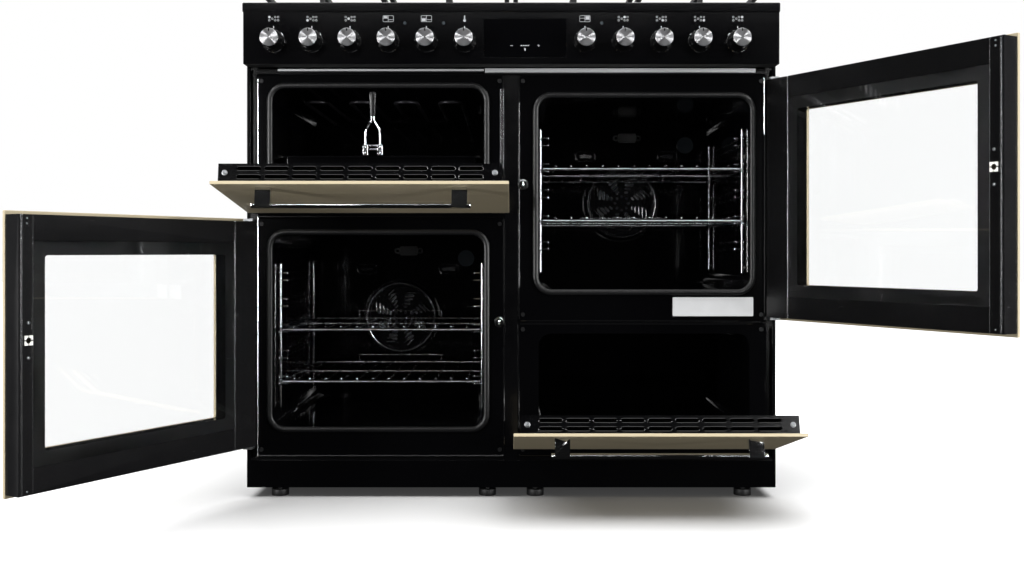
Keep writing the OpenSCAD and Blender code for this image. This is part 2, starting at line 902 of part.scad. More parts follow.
module frame_fasteners() {
    color("#c4c6c8") {
        at_all_screws()
            union() {
                rod_y(0, flange_y - 2, flange_y, 0, screw_r + 2);
                rod_y(0, flange_y - 1, back_y + 7, 0, screw_r);
            }
        for (stud = [[-catch_x, stud_left_z], [catch_x, stud_right_z]])
            union() {
                rod_y(stud[0], flange_y - 3, flange_y, stud[1], stud_r);
                rod_y(stud[0], inner_y - catch_l + 2, flange_y - 1, stud[1], catch_r - 0.8);
            }
    }
}

drop_pin_x = bay_w / 2 - 14;
plate_t = 4;
plate_r = 5;

// Brackets with upright pins for the right-hand side door between z0 and z1
module side_brackets(z0, z1) {
    for (up = [0, 1]) {
        plate_z = up == 0 ? z0 + 1 : z1 - 1 - plate_t;
        pin_z = up == 0 ? plate_z + 1 : z1 - step - pin_l;
        union() {
            block(pin_x - plate_r, side_x + 2, pin_y - 7, flange_y, plate_z, plate_z + plate_t);
            rod_z(pin_x, pin_y, pin_z, up == 0 ? z0 + step + pin_l : plate_z + 1, pin_r);
        }
    }
}

// Brackets with level pins for the drop-down door whose lower edge is at z0
module drop_brackets(z0) {
    z = z0 + drop_rise;
    for (x = [bay_x - drop_pin_x, bay_x + drop_pin_x])
        union() {
            block(x - plate_t / 2, x + plate_t / 2, drop_y, flange_y, z - plate_r, z + plate_r);
            rod_x(x - plate_t / 2, x + plate_t / 2, drop_y, z, plate_r);
            rod_x(x - plate_t / 2 - pin_l, x + plate_t / 2 + pin_l, drop_y, z, pin_r);
        }
}

module hinge_brackets() {
    color("#a9abad") {
        on_side(-1)
            side_brackets(door_z0, left_door_z1);
        side_brackets(right_door_z0, door_z1);
        on_side(-1)
            drop_brackets(grill_door_z0);
        drop_brackets(door_z0);
    }
}

foot_stem = 5;

module feet() {
    color("#1d1d1f")
        for (x = [foot_inset - side_x, -foot_inner_x, foot_inner_x, side_x - foot_inset],
            y = [flange_y + rail_d + foot_r + 4, rear_y - 60])
            union() {
                rod_z(x, y, 0, foot_pad, foot_r);
                rod_z(x, y, foot_pad - 1, plinth_top, foot_stem);
            }
}

// Side-hung doors, drawn shut for the right-hand side
window_r = 3;

// Window from z0 to z1 through y0 to y1, wider by edge all round
module window(y0, y1, z0, z1, edge) {
    tablet(door_x0 + window_free - edge, door_x1 - window_hinged + edge, y0, y1,
        z0 + window_head - edge, z1 - window_head + edge, window_r);
}

module door_panel(z0, z1) {
    color("#efe9d8")
        difference() {
            block(door_x0, door_x1, front_y, skin_y, z0, z1);
            window(front_y - 1, skin_y + 1, z0, z1, 0);
        }
}

boss_w = 14;
boss_h = pin_l + 4;

// Room inside a frame of folded sheet, round its window and the bosses for its pins
module frame_room(z0, z1) {
    difference() {
        block(door_x0 + 1.5 + sheet, door_x1 - sheet, skin_y - 1, inner_y - sheet, z0 + step + sheet,
            z1 - step - sheet);
        window(skin_y - 2, inner_y, z0, z1, window_edge + sheet);
        for (z = [z0 + step, z1 - step - boss_h])
            block(door_x1 - boss_w, door_x1, skin_y - 2, inner_y, z, z + boss_h);
    }
}

module door_frame(z0, z1, stud_z) {
    color("#151517")
        difference() {
            block(door_x0 + 1.5, door_x1, skin_y, inner_y, z0 + step, z1 - step);
            window(skin_y - 1, inner_y + 1, z0, z1, 0);
            window(skin_y - 1, skin_y + pane_t, z0, z1, window_edge);
            window(inner_y - pane_t, inner_y + 1, z0, z1, window_edge);
            rod_z(pin_x, pin_y, z0 + step - 1, z0 + step + pin_l + 1, pin_r + pin_fit);
            rod_z(pin_x, pin_y, z1 - step - pin_l - 1, z1 - step + 1, pin_r + pin_fit);
            rod_y(catch_x, inner_y - catch_l, inner_y + 1, stud_z, catch_r);
            frame_room(z0, z1);
        }
}

module door_glass(z0, z1) {
    color("#20242a") {
        window(skin_y, skin_y + pane_t - fit, z0, z1, window_edge - fit);
        window(inner_y - pane_t + fit, inner_y, z0, z1, window_edge - fit);
    }
}

// Bar on two brackets that stand off the outer panel, along Z or along X, about its middle
module handle(upright) {
    bracket = handle_l / 2 - handle_foot / 2 - 6;
    color("#d3d4d6")
        rotate([0, upright ? 90 : 0, 0])
            union() {
                for (x = [-bracket, bracket])
                    block(x - handle_foot / 2, x + handle_foot / 2, front_y - handle_off + 2, front_y,
                        -handle_bar / 2, handle_bar / 2);
                rod_x(-handle_l / 2, handle_l / 2, front_y - handle_off + handle_bar / 2, 0, handle_bar / 2);
            }
}

handle_edge = 28;

module side_handle(z0, z1) {
    translate([door_x0 + handle_edge, 0, (z0 + z1) / 2])
        handle(true);
}

module left_door_panel() {
    swung(-1)
        door_panel(door_z0, left_door_z1);
}

module left_door_frame() {
    swung(-1)
        door_frame(door_z0, left_door_z1, stud_left_z);
}

module left_door_glass() {
    swung(-1)
        door_glass(door_z0, left_door_z1);
}

module left_door_handle() {
    swung(-1)
        side_handle(door_z0, left_door_z1);
}

module right_door_panel() {
    swung(1)
        door_panel(right_door_z0, door_z1);
}

module right_door_frame() {
    swung(1)
        door_frame(right_door_z0, door_z1, stud_right_z);
}

module right_door_glass() {
    swung(1)
        door_glass(right_door_z0, door_z1);
}

module right_door_handle() {
    swung(1)
        side_handle(right_door_z0, door_z1);
}

// Drop-down doors, drawn shut for the right-hand side
door_slot_n = 9;
door_slot_pitch = 46;
door_slot_l = 40;
door_slot_w = 7;
door_slot_d = 5;

module drop_panel(z0, z1) {
    color("#efe9d8")
        block(door_x0, door_x1, front_y, skin_y, z0, z1);
}

// Room inside a drop-down door's box of folded sheet, between the blocks that hold its pins
module box_room(z0, z1) {
    block_x = plate_t / 2 + pin_l + 4;
    difference() {
        block(door_x0 + drop_inset + sheet, door_x1 - drop_inset - sheet, skin_y - 1, inner_y - sheet,
            z0 + step + sheet, z1 - step - sheet);
        for (x = [bay_x - drop_pin_x, bay_x + drop_pin_x])
            block(x - block_x, x + block_x, skin_y - 2, inner_y, z0 + step, z0 + drop_rise + plate_r + 6);
    }
}

module drop_inner(z0, z1) {
    middle = (door_x0 + door_x1) / 2;
    z = z0 + drop_rise;
    color("#1a1a1c")
        difference() {
            block(door_x0 + drop_inset, door_x1 - drop_inset, skin_y, inner_y, z0 + step, z1 - step);
            for (i = [0 : door_slot_n - 1], y = [skin_y + 8, skin_y + 22]) {
                x = middle + door_slot_pitch * (i - (door_slot_n - 1) / 2);
                tile(x - door_slot_l / 2, x + door_slot_l / 2, y - door_slot_w / 2, y + door_slot_w / 2,
                    z1 - step - door_slot_d, z1 - step + 1, door_slot_w / 2 - 0.1);
            }
            for (x = [bay_x - drop_pin_x, bay_x + drop_pin_x]) {
                block(x - plate_t / 2 - bite, x + plate_t / 2 + bite, drop_y - plate_r - 3, inner_y + 1,
                    z0, z + plate_r + 3);
                rod_x(x - plate_t / 2 - pin_l - 1, x + plate_t / 2 + pin_l + 1, drop_y, z, pin_r + pin_fit);
            }
            box_room(z0, z1);
        }
}

module drop_handle(z1) {
    translate([(door_x0 + door_x1) / 2, 0, z1 - handle_edge])
        handle(false);
}

module grill_door_panel() {
    dropped(-1, grill_door_z0, grill_open)
        drop_panel(grill_door_z0, door_z1);
}

module grill_door_inner() {
    dropped(-1, grill_door_z0, grill_open)
        drop_inner(grill_door_z0, door_z1);
}

module grill_door_handle() {
    dropped(-1, grill_door_z0, grill_open)
        drop_handle(door_z1);
}

module storage_door_panel() {
    dropped(1, door_z0, store_open)
        drop_panel(door_z0, store_door_z1);
}

module storage_door_inner() {
    dropped(1, door_z0, store_open)
        drop_inner(door_z0, store_door_z1);
}

module storage_door_handle() {
    dropped(1, door_z0, store_open)
        drop_handle(store_door_z1);
}

// Knobs
module knob(i) {
    color("#b9babd")
        translate([knob_x(i), front_y - 0.5, knob_z])
            rotate([90, 0, 0])
                difference() {
                    rotate_extrude()
                        polygon([[0, 0], [skirt_r, 0], [skirt_r, 3], [knob_r + 1.2, 8], [knob_r, 10],
                            [knob_r, knob_l - 2], [knob_r - 1.5, knob_l - 0.5], [0, knob_l - 0.5]]);
                    translate([0, 0, -1])
                        cylinder(h = 26, r = spindle_r + spindle_fit);
                }
}

module knob_1() {
    knob(0);
}

module knob_2() {
    knob(1);
}

module knob_3() {
    knob(2);
}

module knob_4() {
    knob(3);
}

module knob_5() {
    knob(4);
}

module knob_6() {
    knob(5);
}

module knob_7() {
    knob(6);
}

module knob_8() {
    knob(7);
}

module knob_9() {
    knob(8);
}

module knob_10() {
    knob(9);
}

module knob_11() {
    knob(10);
}

// Shelves and grill pan
wire_n = floor((2 * shelf_x - 30) / wire_pitch) + 1;
hoop_w = 187;
hoop_h = 17;

module shelf(z0, level) {
    z = z0 + shelf_z + shelf_pitch * level + shelf_lift;
    y1 = shelf_y + shelf_d;
    color("#cfd1d3")
        union() {
            for (side = [-1, 1]) {
                rod_y(bay_x + side * shelf_x, shelf_y, y1, z, rail_r);
                for (y = [shelf_y, y1])
                    translate([bay_x + side * shelf_x, y, z])
                        sphere(rail_r);
                rod_z(bay_x + side * hoop_w / 2, y1, z, z + hoop_h, wire_r);
                translate([bay_x + side * hoop_w / 2, y1, z + hoop_h])
                    sphere(wire_r);
            }
            for (y = [shelf_y, y1])
                rod_x(bay_x - shelf_x, bay_x + shelf_x, y, z, rail_r);
            rod_x(bay_x - shelf_x, bay_x + shelf_x, shelf_y + shelf_d * 0.5, z, rail_r - 0.6);
            rod_x(bay_x - hoop_w / 2, bay_x + hoop_w / 2, y1, z + hoop_h, wire_r);
            for (i = [0 : wire_n - 1])
                rod_y(bay_x + wire_pitch * (i - (wire_n - 1) / 2), shelf_y - 1.5, y1 + 1.5, z + rail_r, wire_r);
        }
}

module left_shelf_lower() {
    on_side(-1)
        shelf(left_z0, 0);
}

module left_shelf_upper() {
    on_side(-1)
        shelf(left_z0, 2);
}

module right_shelf_lower() {
    shelf(right_z0, 1);
}

module right_shelf_upper() {
    shelf(right_z0, 3);
}

pan_y0 = flange_y + 16;
pan_d = bay_d - pan_room;
pan_rim_x = bay_w / 2 - 2;
pan_basin_x = bay_w / 2 - runner_w - 3;
pan_rim_z = grill_z0 + pan_z + fit;
pan_rim_t = 3;
pan_t = 1.5;

module grill_pan() {
    color("#121214")
        on_side(-1)
            difference() {
                union() {
                    tile(bay_x - pan_rim_x, bay_x + pan_rim_x, pan_y0, pan_y0 + pan_d, pan_rim_z,
                        pan_rim_z + pan_rim_t, 12);
                    tile(bay_x - pan_basin_x, bay_x + pan_basin_x, pan_y0 + 6, pan_y0 + pan_d - 6,
                        pan_rim_z - pan_h, pan_rim_z + 1, 12);
                }
                tile(bay_x - pan_basin_x + pan_t, bay_x + pan_basin_x - pan_t, pan_y0 + 6 + pan_t,
                    pan_y0 + pan_d - 6 - pan_t, pan_rim_z - pan_h + pan_t, pan_rim_z + pan_rim_t + 1, 11);
            }
}

handle_x = -bay_x - 12;
grip_r = 7;
grip_z1 = grill_z0 + grill_h - 5;
grip_z0 = grip_z1 - 47;
arm_x = 14;
arm_r = 2.2;

// Clip-on handle that stands on the front rim of the grill pan
module grill_pan_handle() {
    rim_top = pan_rim_z + pan_rim_t;
    arm_y = pan_y0 - 6;
    color("#3a3b3e")
        union() {
            for (x = [-arm_x, arm_x]) {
                block(handle_x + x - 5, handle_x + x + 5, arm_y - 3, pan_y0 + 4, rim_top, rim_top + 22);
                rod_z(handle_x + x, arm_y, rim_top + 10, grip_z0 - 12, arm_r);
            }
            for (z = [rim_top + 12, rim_top + 19])
                rod_x(handle_x - arm_x, handle_x + arm_x, arm_y, z, arm_r);
            block(handle_x - arm_x - arm_r, handle_x + arm_x + arm_r, arm_y - 3, arm_y + 3, grip_z0 - 15,
                grip_z0 - 9);
            rod_z(handle_x, arm_y, grip_z0 - 14, grip_z1, grip_r);
        }
}

chassis();
plinth();
side_panels();
rear_cover();
hob_tray();
fascia();
display_glass();
control_taps();
vent_trim();
grill_liner();
left_oven_liner();
right_oven_liner();
storage_liner();
door_seals();
shelf_ladders();
fan_covers();
fan_motors();
fan_elements();
lamp_lenses();
grill_element();
burners();
burner_caps();
pan_supports();
frame_fasteners();
hinge_brackets();
feet();
gas_inlet();
left_door_panel();
left_door_frame();
left_door_glass();
left_door_handle();
right_door_panel();
right_door_frame();
right_door_glass();
right_door_handle();
grill_door_panel();
grill_door_inner();
grill_door_handle();
storage_door_panel();
storage_door_inner();
storage_door_handle();
knob_1();
knob_2();
knob_3();
knob_4();
knob_5();
knob_6();
knob_7();
knob_8();
knob_9();
knob_10();
knob_11();
left_shelf_lower();
left_shelf_upper();
right_shelf_lower();
right_shelf_upper();
grill_pan();
grill_pan_handle();
left_fan();
right_fan();
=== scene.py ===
"""Looks of a range cooker: two side-hung ovens, a drop-down grill and a drop-down storage compartment.

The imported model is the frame. Lengths in the classes are millimetres in the row frame, and Draft.make
turns them to metres. The doors' pieces are drawn shut, and Turn moves them to where they stand open.
"""

import json
import logging
import math
from dataclasses import dataclass
from enum import Enum

import bmesh
import bpy
from mathutils import Matrix, Vector

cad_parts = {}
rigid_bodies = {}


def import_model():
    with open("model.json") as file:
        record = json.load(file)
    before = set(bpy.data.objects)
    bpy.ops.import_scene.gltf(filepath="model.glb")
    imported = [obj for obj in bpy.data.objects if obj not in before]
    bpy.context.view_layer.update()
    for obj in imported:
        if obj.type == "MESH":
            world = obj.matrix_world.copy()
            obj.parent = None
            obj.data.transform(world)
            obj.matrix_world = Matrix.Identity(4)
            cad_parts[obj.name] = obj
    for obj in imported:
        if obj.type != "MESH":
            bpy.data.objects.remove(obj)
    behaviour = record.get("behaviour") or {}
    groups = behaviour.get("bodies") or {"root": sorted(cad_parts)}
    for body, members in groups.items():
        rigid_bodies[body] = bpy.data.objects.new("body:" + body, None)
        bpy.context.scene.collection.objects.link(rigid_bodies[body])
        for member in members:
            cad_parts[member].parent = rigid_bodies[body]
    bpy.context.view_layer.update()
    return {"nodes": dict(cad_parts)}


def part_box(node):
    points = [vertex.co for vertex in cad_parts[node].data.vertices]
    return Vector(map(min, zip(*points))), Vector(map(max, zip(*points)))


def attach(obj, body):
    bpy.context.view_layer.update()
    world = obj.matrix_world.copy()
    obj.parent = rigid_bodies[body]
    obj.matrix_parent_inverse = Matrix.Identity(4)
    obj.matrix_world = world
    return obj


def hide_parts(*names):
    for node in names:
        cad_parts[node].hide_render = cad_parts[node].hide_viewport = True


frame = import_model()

log = logging.getLogger("range_cooker")

MM = 0.001

# Planes and heights that several classes share, in mm
FRONT_Y = -110.0
SKIN_Y = -104.5
INNER_Y = -74.0
FLANGE_Y = -67.0
CAVITY_BACK_Y = 373.0
BAY_X = 252.0
HALF_BAY = 200.0
KNOB_Z = 858.0
OVEN_H = 363.0
LEFT_Z0, RIGHT_Z0, GRILL_Z0 = 136.0, 396.0, 565.0
GRILL_H = 212.0
SHELF_LIFT, RUNG_PITCH = 82.9, 50.0
KNOB_PITCH = 70.9
KNOB_XS = [-441.2 + KNOB_PITCH * i for i in range(6)] + [136.7 + KNOB_PITCH * i for i in range(5)]

# Hinge pins of the side doors, the grill door and the storage door, in mm
SIDE_PIN = (491.0, -82.0, 0.0)
GRILL_PIN = (0.0, -96.0, 557.0)
STORE_PIN = (0.0, -96.0, 114.0)

BODY = "cooker_body"
WHITE = "ffffff"
SHARP_DEG = 40.0
WELD_M = 1e-6

Point = tuple[float, float, float]
Flat = tuple[float, float]
Tree = bpy.types.NodeTree
Node = bpy.types.Node
Socket = bpy.types.NodeSocket


def linear(code: str) -> tuple[float, float, float, float]:
    """Turns an sRGB hex colour to linear light.

    Args:
        code: Six hex digits.

    Returns:
        Linear red, green, blue, and an alpha of 1.
    """
    parts = [int(code[i : i + 2], 16) / 255 for i in (0, 2, 4)]
    red, green, blue = ((c / 12.92) if c <= 0.04045 else ((c + 0.055) / 1.055) ** 2.4 for c in parts)
    return (red, green, blue, 1.0)


def per_mm(size: float) -> float:
    """Gives the texture scale whose pattern repeats about every size millimetres."""
    return 1000.0 / size


def add_node(tree: Tree, kind: str, settings: dict[str | int, object] | None = None,
             links: dict[str | int, Socket] | None = None) -> Node:
    """Adds one shader node with its settings and links.

    Args:
        tree: The material's or world's node tree.
        kind: The node's type without the word ShaderNode.
        settings: Values by socket name or number, or by the node's own setting name.
        links: Sources by socket name or number.

    Returns:
        The new node.
    """
    made = tree.nodes.new("ShaderNode" + kind)
    for name, value in (settings or {}).items():
        if isinstance(name, str) and name.islower() and hasattr(made, name):
            setattr(made, name, value)
        else:
            made.inputs[name].default_value = value
    for name, source in (links or {}).items():
        tree.links.new(source, made.inputs[name])
    return made


def place_object(name: str, data: bpy.types.ID) -> bpy.types.Object:
    """Makes an object and puts it in the scene.

    Args:
        name: Its name.
        data: Its mesh, lamp or camera.

    Returns:
        The new object.
    """
    made = bpy.data.objects.new(name, data)
    bpy.context.scene.collection.objects.link(made)
    return made


class Turn(Enum):
    """How a piece that is drawn shut stands at rest: its pin, axis and angle, and 1 if it is drawn on the right
    and belongs on the left."""

    STILL = ((0.0, 0.0, 0.0), "Z", 0.0, 0)
    LEFT_DOOR = (SIDE_PIN, "Z", 121.0, 1)
    RIGHT_DOOR = (SIDE_PIN, "Z", 121.0, 0)
    GRILL_DOOR = (GRILL_PIN, "X", 81.5, 1)
    STORE_DOOR = (STORE_PIN, "X", 74.5, 0)

    def matrix(self) -> Matrix:
        """Gives the move from shut to open, in mm.

        Returns:
            The move.
        """
        pin, axis, degrees, mirrored = self.value
        there = Matrix.Translation(pin)
        moved = there @ Matrix.Rotation(math.radians(degrees), 4, axis) @ there.inverted()
        return Matrix.Scale(-1, 4, Vector((1, 0, 0))) @ moved if mirrored else moved


def rounded(x0: float, x1: float, z0: float, z1: float, r: float, steps: int = 6) -> list[Flat]:
    """Gives the outline of a rounded rectangle, anticlockwise.

    Args:
        x0: Left edge.
        x1: Right edge.
        z0: Lower edge.
        z1: Upper edge.
        r: Corner radius.
        steps: Pieces in each corner.

    Returns:
        The outline's points.
    """
    corners = ((x1 - r, z1 - r, 0), (x0 + r, z1 - r, 90), (x0 + r, z0 + r, 180), (x1 - r, z0 + r, 270))
    turns = [(cx, cz, math.radians(a + 90 * i / steps)) for cx, cz, a in corners for i in range(steps + 1)]
    return [(cx + r * math.cos(t), cz + r * math.sin(t)) for cx, cz, t in turns]


def disc(x: float, z: float, r: float, steps: int = 24) -> list[Flat]:
    """Gives the outline of a circle, anticlockwise."""
    turns = [2 * math.pi * i / steps for i in range(steps)]
    return [(x + r * math.cos(t), z + r * math.sin(t)) for t in turns]


class Draft:
    """A mesh in the making, drawn in mm in the row frame."""

    POINT_R = 0.01

    def __init__(self) -> None:
        """Starts an empty mesh."""
        self.bm = bmesh.new()

    def skin(self, rings: list[list[Point]], along: bool = False) -> "Draft":
        """Joins rings of equal length with quads, and closes the ends if the last doesn't join the first.

        Args:
            rings: Rings of points, one after the other.
            along: Whether the last ring joins the first.

        Returns:
            This draft.
        """
        made = [[self.bm.verts.new(p) for p in ring] for ring in rings]
        count = len(rings[0])
        for a, b in zip(made, made[1:] + (made[:1] if along else [])):
            for i in range(count):
                j = (i + 1) % count
                self.bm.faces.new((a[i], a[j], b[j], b[i]))
        if not along:
            self.bm.faces.new(made[0][::-1])
            self.bm.faces.new(made[-1])
        return self

    def prism(self, outline: list[Flat], low: float, high: float, axis: str = "Y") -> "Draft":
        """Extrudes a flat outline along an axis.

        Args:
            outline: Points in the plane across the axis: (x, z) or (y, z).
            low: Where it starts on the axis.
            high: Where it ends.
            axis: Y or X.

        Returns:
            This draft.
        """
        if axis == "X":
            return self.skin([[(q, y, z) for y, z in outline] for q in (low, high)])
        return self.skin([[(x, q, z) for x, z in outline] for q in (low, high)])

    def block(self, x0: float, x1: float, y0: float, y1: float, z0: float, z1: float) -> "Draft":
        """Adds a box between its two corners."""
        return self.prism([(x0, z0), (x1, z0), (x1, z1), (x0, z1)], y0, y1)

    def collar(self, outer: list[Flat], inner: list[Flat], low: float, high: float) -> "Draft":
        """Adds a flat frame along Y between two outlines of equal length.

        Args:
            outer: Outer outline.
            inner: Inner outline.
            low: Its front.
            high: Its back.

        Returns:
            This draft.
        """
        rings = [(outer, low), (outer, high), (inner, high), (inner, low)]
        return self.skin([[(x, y, z) for x, z in line] for line, y in rings], along=True)

    def lathe(self, profile: list[Flat], at: Point, axis: str = "Y", steps: int = 48,
              closed: bool = False) -> "Draft":
        """Turns a profile round an axis through a point.

        Args:
            profile: (radius, height) pairs; a radius of 0 ends in a tiny disc.
            at: Where height 0 is.
            axis: Y points heights to the viewer, along -Y, and Z points them up.
            steps: Pieces round it.
            closed: Whether the profile is a loop.

        Returns:
            This draft.
        """
        x, y, z = at
        rings = []
        for radius, height in profile:
            flat = disc(0, 0, max(radius, self.POINT_R), steps)
            if axis == "Y":
                rings.append([(x + u, y - height, z + v) for u, v in flat])
            else:
                rings.append([(x + u, y + v, z + height) for u, v in flat])
        return self.skin(rings, along=closed)

    def hoop(self, profile: list[Flat], at: Point, steps: int = 48) -> "Draft":
        """Turns a closed profile round Y through a point, as lathe does an open one."""
        return self.lathe(profile, at, steps=steps, closed=True)

    def tube(self, points: list[Point], radius: float, sides: int = 10, closed: bool = False,
             shape: list[Flat] | None = None) -> "Draft":
        """Sweeps a round or given section along points.

        Args:
            points: The line it follows.
            radius: Its radius, or the scale of shape.
            sides: Sides of a round section.
            closed: Whether the line is a loop.
            shape: Section to sweep instead of a circle.

        Returns:
            This draft.
        """
        flat = shape or disc(0, 0, 1, sides)
        line = [Vector(p) for p in points]
        count = len(line)
        rings, side = [], None
        for i, p in enumerate(line):
            after = line[(i + 1) % count] if closed or i < count - 1 else p
            before = line[i - 1] if closed or i else p
            ahead = (after - before).normalized()
            if side is None:
                guide = Vector((0, 1, 0)) if abs(ahead.y) < 0.9 else Vector((1, 0, 0))
                side = ahead.cross(guide)
            side = (side - ahead * side.dot(ahead)).normalized()
            up = ahead.cross(side)
            into = ((p - before).normalized() if (p - before).length else ahead).dot(ahead)
            stretch = 1 / max(into, 0.5)
            rings.append([tuple(p + side * (u * radius * stretch) + up * (v * radius)) for u, v in flat])
        return self.skin(rings, along=closed)

    def ball(self, at: Point, radius: float, squash: float = 1.0) -> "Draft":
        """Adds a ball.

        Args:
            at: Its middle.
            radius: Its radius.
            squash: Its depth along Y over its width.

        Returns:
            This draft.
        """
        move = Matrix.Translation(at) @ Matrix.Diagonal((1, squash, 1, 1))
        bmesh.ops.create_uvsphere(self.bm, u_segments=20, v_segments=12, radius=radius, matrix=move)
        return self

    def copy_along(self, moves: list[Matrix]) -> "Draft":
        """Puts copies of all that is drawn so far at each move.

        Args:
            moves: Where each copy goes.

        Returns:
            This draft.
        """
        drawn = list(self.bm.verts) + list(self.bm.edges) + list(self.bm.faces)
        for move in moves:
            new = bmesh.ops.duplicate(self.bm, geom=drawn)["geom"]
            points = [g for g in new if isinstance(g, bmesh.types.BMVert)]
            bmesh.ops.transform(self.bm, matrix=move, verts=points)
        return self

    def cut(self, tool: "Draft") -> "Draft":
        """Cuts another draft's solids out of this one.

        Args:
            tool: What is cut away; it is used up.

        Returns:
            This draft.
        """
        held = []
        for draft in (self, tool):
            bmesh.ops.recalc_face_normals(draft.bm, faces=draft.bm.faces)
            mesh = bpy.data.meshes.new("held")
            draft.bm.to_mesh(mesh)
            draft.bm.free()
            held.append(place_object("held", mesh))
        carving = held[0].modifiers.new("Cut", "BOOLEAN")
        carving.object, carving.operation, carving.solver = held[1], "DIFFERENCE", "EXACT"
        self.bm = bmesh.new()
        self.bm.from_object(held[0], bpy.context.evaluated_depsgraph_get())
        for made in held:
            mesh = made.data
            bpy.data.objects.remove(made)
            bpy.data.meshes.remove(mesh)
        return self

    def make(self, name: str, body: str, finish: "Finish", turn: Turn = Turn.STILL, bevel: float = 0.0,
             slot: str | None = None, stands_for: tuple[str, ...] = (), smooth: float = 35.0) -> None:
        """Turns the draft to a piece that rides on a body, and reports it.

        Args:
            name: The piece's name.
            body: The CAD body that carries it.
            finish: Its material.
            turn: How it stands at rest.
            bevel: Width of its rounded edges, in mm.
            slot: The record's slot that its finish is from; not used.
            stands_for: CAD nodes that it replaces.
            smooth: Edges sharper than this stay sharp, in degrees.
        """
        self.bm.transform(Matrix.Scale(MM, 4) @ turn.matrix())
        bmesh.ops.recalc_face_normals(self.bm, faces=self.bm.faces)
        mesh = bpy.data.meshes.new(name)
        self.bm.to_mesh(mesh)
        self.bm.free()
        made = place_object(name, mesh)
        mesh.materials.append(finish.build())
        mesh.polygons.foreach_set("use_smooth", [True] * len(mesh.polygons))
        mesh.set_sharp_from_angle(angle=math.radians(smooth))
        if bevel:
            round_edges(made, bevel)
        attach(made, body)
        if stands_for:
            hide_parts(*stands_for)
        log.info("%s: %d faces on %s", name, len(mesh.polygons), body)


def round_edges(piece: bpy.types.Object, width: float) -> None:
    """Rounds a piece's sharp edges with two faces each.

    Args:
        piece: The object.
        width: Width of the rounding in mm.
    """
    bevel = piece.modifiers.new("Edges", "BEVEL")
    bevel.width = width * MM
    bevel.segments = 2
    bevel.limit_method = "ANGLE"
    bevel.angle_limit = math.radians(SHARP_DEG)
    bevel.use_clamp_overlap = True
    bevel.miter_outer = "MITER_ARC"
    bevel.harden_normals = True


def dress(node: str, finish: "Finish", bevel: float) -> None:
    """Gives a CAD node its finish and rounded edges, and reports it; its mesh and place stay.

    Args:
        node: The CAD node.
        finish: Its material.
        bevel: Width of its rounded edges, in mm; 0 leaves them as they are.
    """
    piece = frame["nodes"][node]
    for held in piece.material_slots:
        held.link = "OBJECT"
        held.material = finish.build()
    if bevel:
        weld = piece.modifiers.new("Weld", "WELD")
        weld.merge_threshold = WELD_M
        round_edges(piece, bevel)
    log.info("%s: %s", node, finish.name)


@dataclass(frozen=True)
class Finish:
    """A real material with the process that made its surface. Its pattern runs between two colours and two
    glosses, its grain is the size in mm at which the pattern repeats, and its relief is its depth in mm."""

    BROAD = 40.0
    name: str
    colour: str
    second: str
    gloss: Flat
    grain: float
    relief: float
    metallic: float = 0.0
    ior: float = 1.5
    extras: tuple[tuple[str, object], ...] = ()

    def pattern(self, tree: Tree, place: Socket) -> tuple[Socket, Socket]:
        """Draws the surface's pattern: fine grain for the relief, and broad soft patches for colour and gloss.

        Args:
            tree: The material's nodes.
            place: Object coordinates in metres.

        Returns:
            The height and the tint, each from 0 to 1.
        """
        fine = add_node(tree, "TexNoise", {"Scale": per_mm(self.grain), "Detail": 3.0}, {"Vector": place})
        broad = add_node(tree, "TexNoise", {"Scale": per_mm(self.grain * self.BROAD), "Detail": 4.0},
                         {"Vector": place})
        return fine.outputs["Fac"], broad.outputs["Fac"]

    def complete(self, tree: Tree, shader: Node) -> None:
        """Adds what only one kind of finish has."""

    def build(self) -> bpy.types.Material:
        """Builds the material once.

        Returns:
            The material.
        """
        known = bpy.data.materials.get(self.name)
        if known:
            return known
        made = bpy.data.materials.new(self.name)
        made.use_nodes = True
        tree = made.node_tree
        tree.nodes.clear()
        height, tint = self.pattern(tree, add_node(tree, "TexCoord").outputs["Object"])
        colour = add_node(tree, "Mix", {"data_type": "RGBA", 6: linear(self.colour), 7: linear(self.second)},
                          {0: tint})
        gloss = add_node(tree, "MapRange", {"To Min": self.gloss[0], "To Max": self.gloss[1]}, {"Value": tint})
        bump = add_node(tree, "Bump", {"Distance": self.relief * MM}, {"Height": height})
        settings = {"Metallic": self.metallic} if self.metallic else {"Metallic": 0.0, "IOR": self.ior}
        settings |= dict(self.extras)
        shader = add_node(tree, "BsdfPrincipled", settings, {
            "Base Color": colour.outputs[2], "Roughness": gloss.outputs[0], "Normal": bump.outputs[0]})
        self.complete(tree, shader)
        add_node(tree, "OutputMaterial", links={"Surface": shader.outputs[0]})
        return made


@dataclass(frozen=True)
class VitreousEnamel(Finish):
    """Glass frit fired on pressed steel: a deep, wet gloss with the slow ripple of melted glass."""


@dataclass(frozen=True)
class PowderCoat(Finish):
    """Polyester powder baked on folded steel: satin, with a fine orange peel."""


@dataclass(frozen=True)
class BrightMetal(Finish):
    """Drawn or turned metal with a smooth face: chrome plate mirrors the room, while zinc plate, bare brass and
    black oxide blur it. Its waviness is faint."""


@dataclass(frozen=True)
class MouldedPlastic(Finish):
    """Injection-moulded or pressed plastic: a fine, even spark-eroded texture, drawn coarser than the real
    0.2 mm to show."""


@dataclass(frozen=True)
class PrintedInk(Finish):
    """Ceramic ink screen-printed and fired: flat, slightly chalky, with a screen grain drawn coarser than the
    real 0.1 mm to show."""


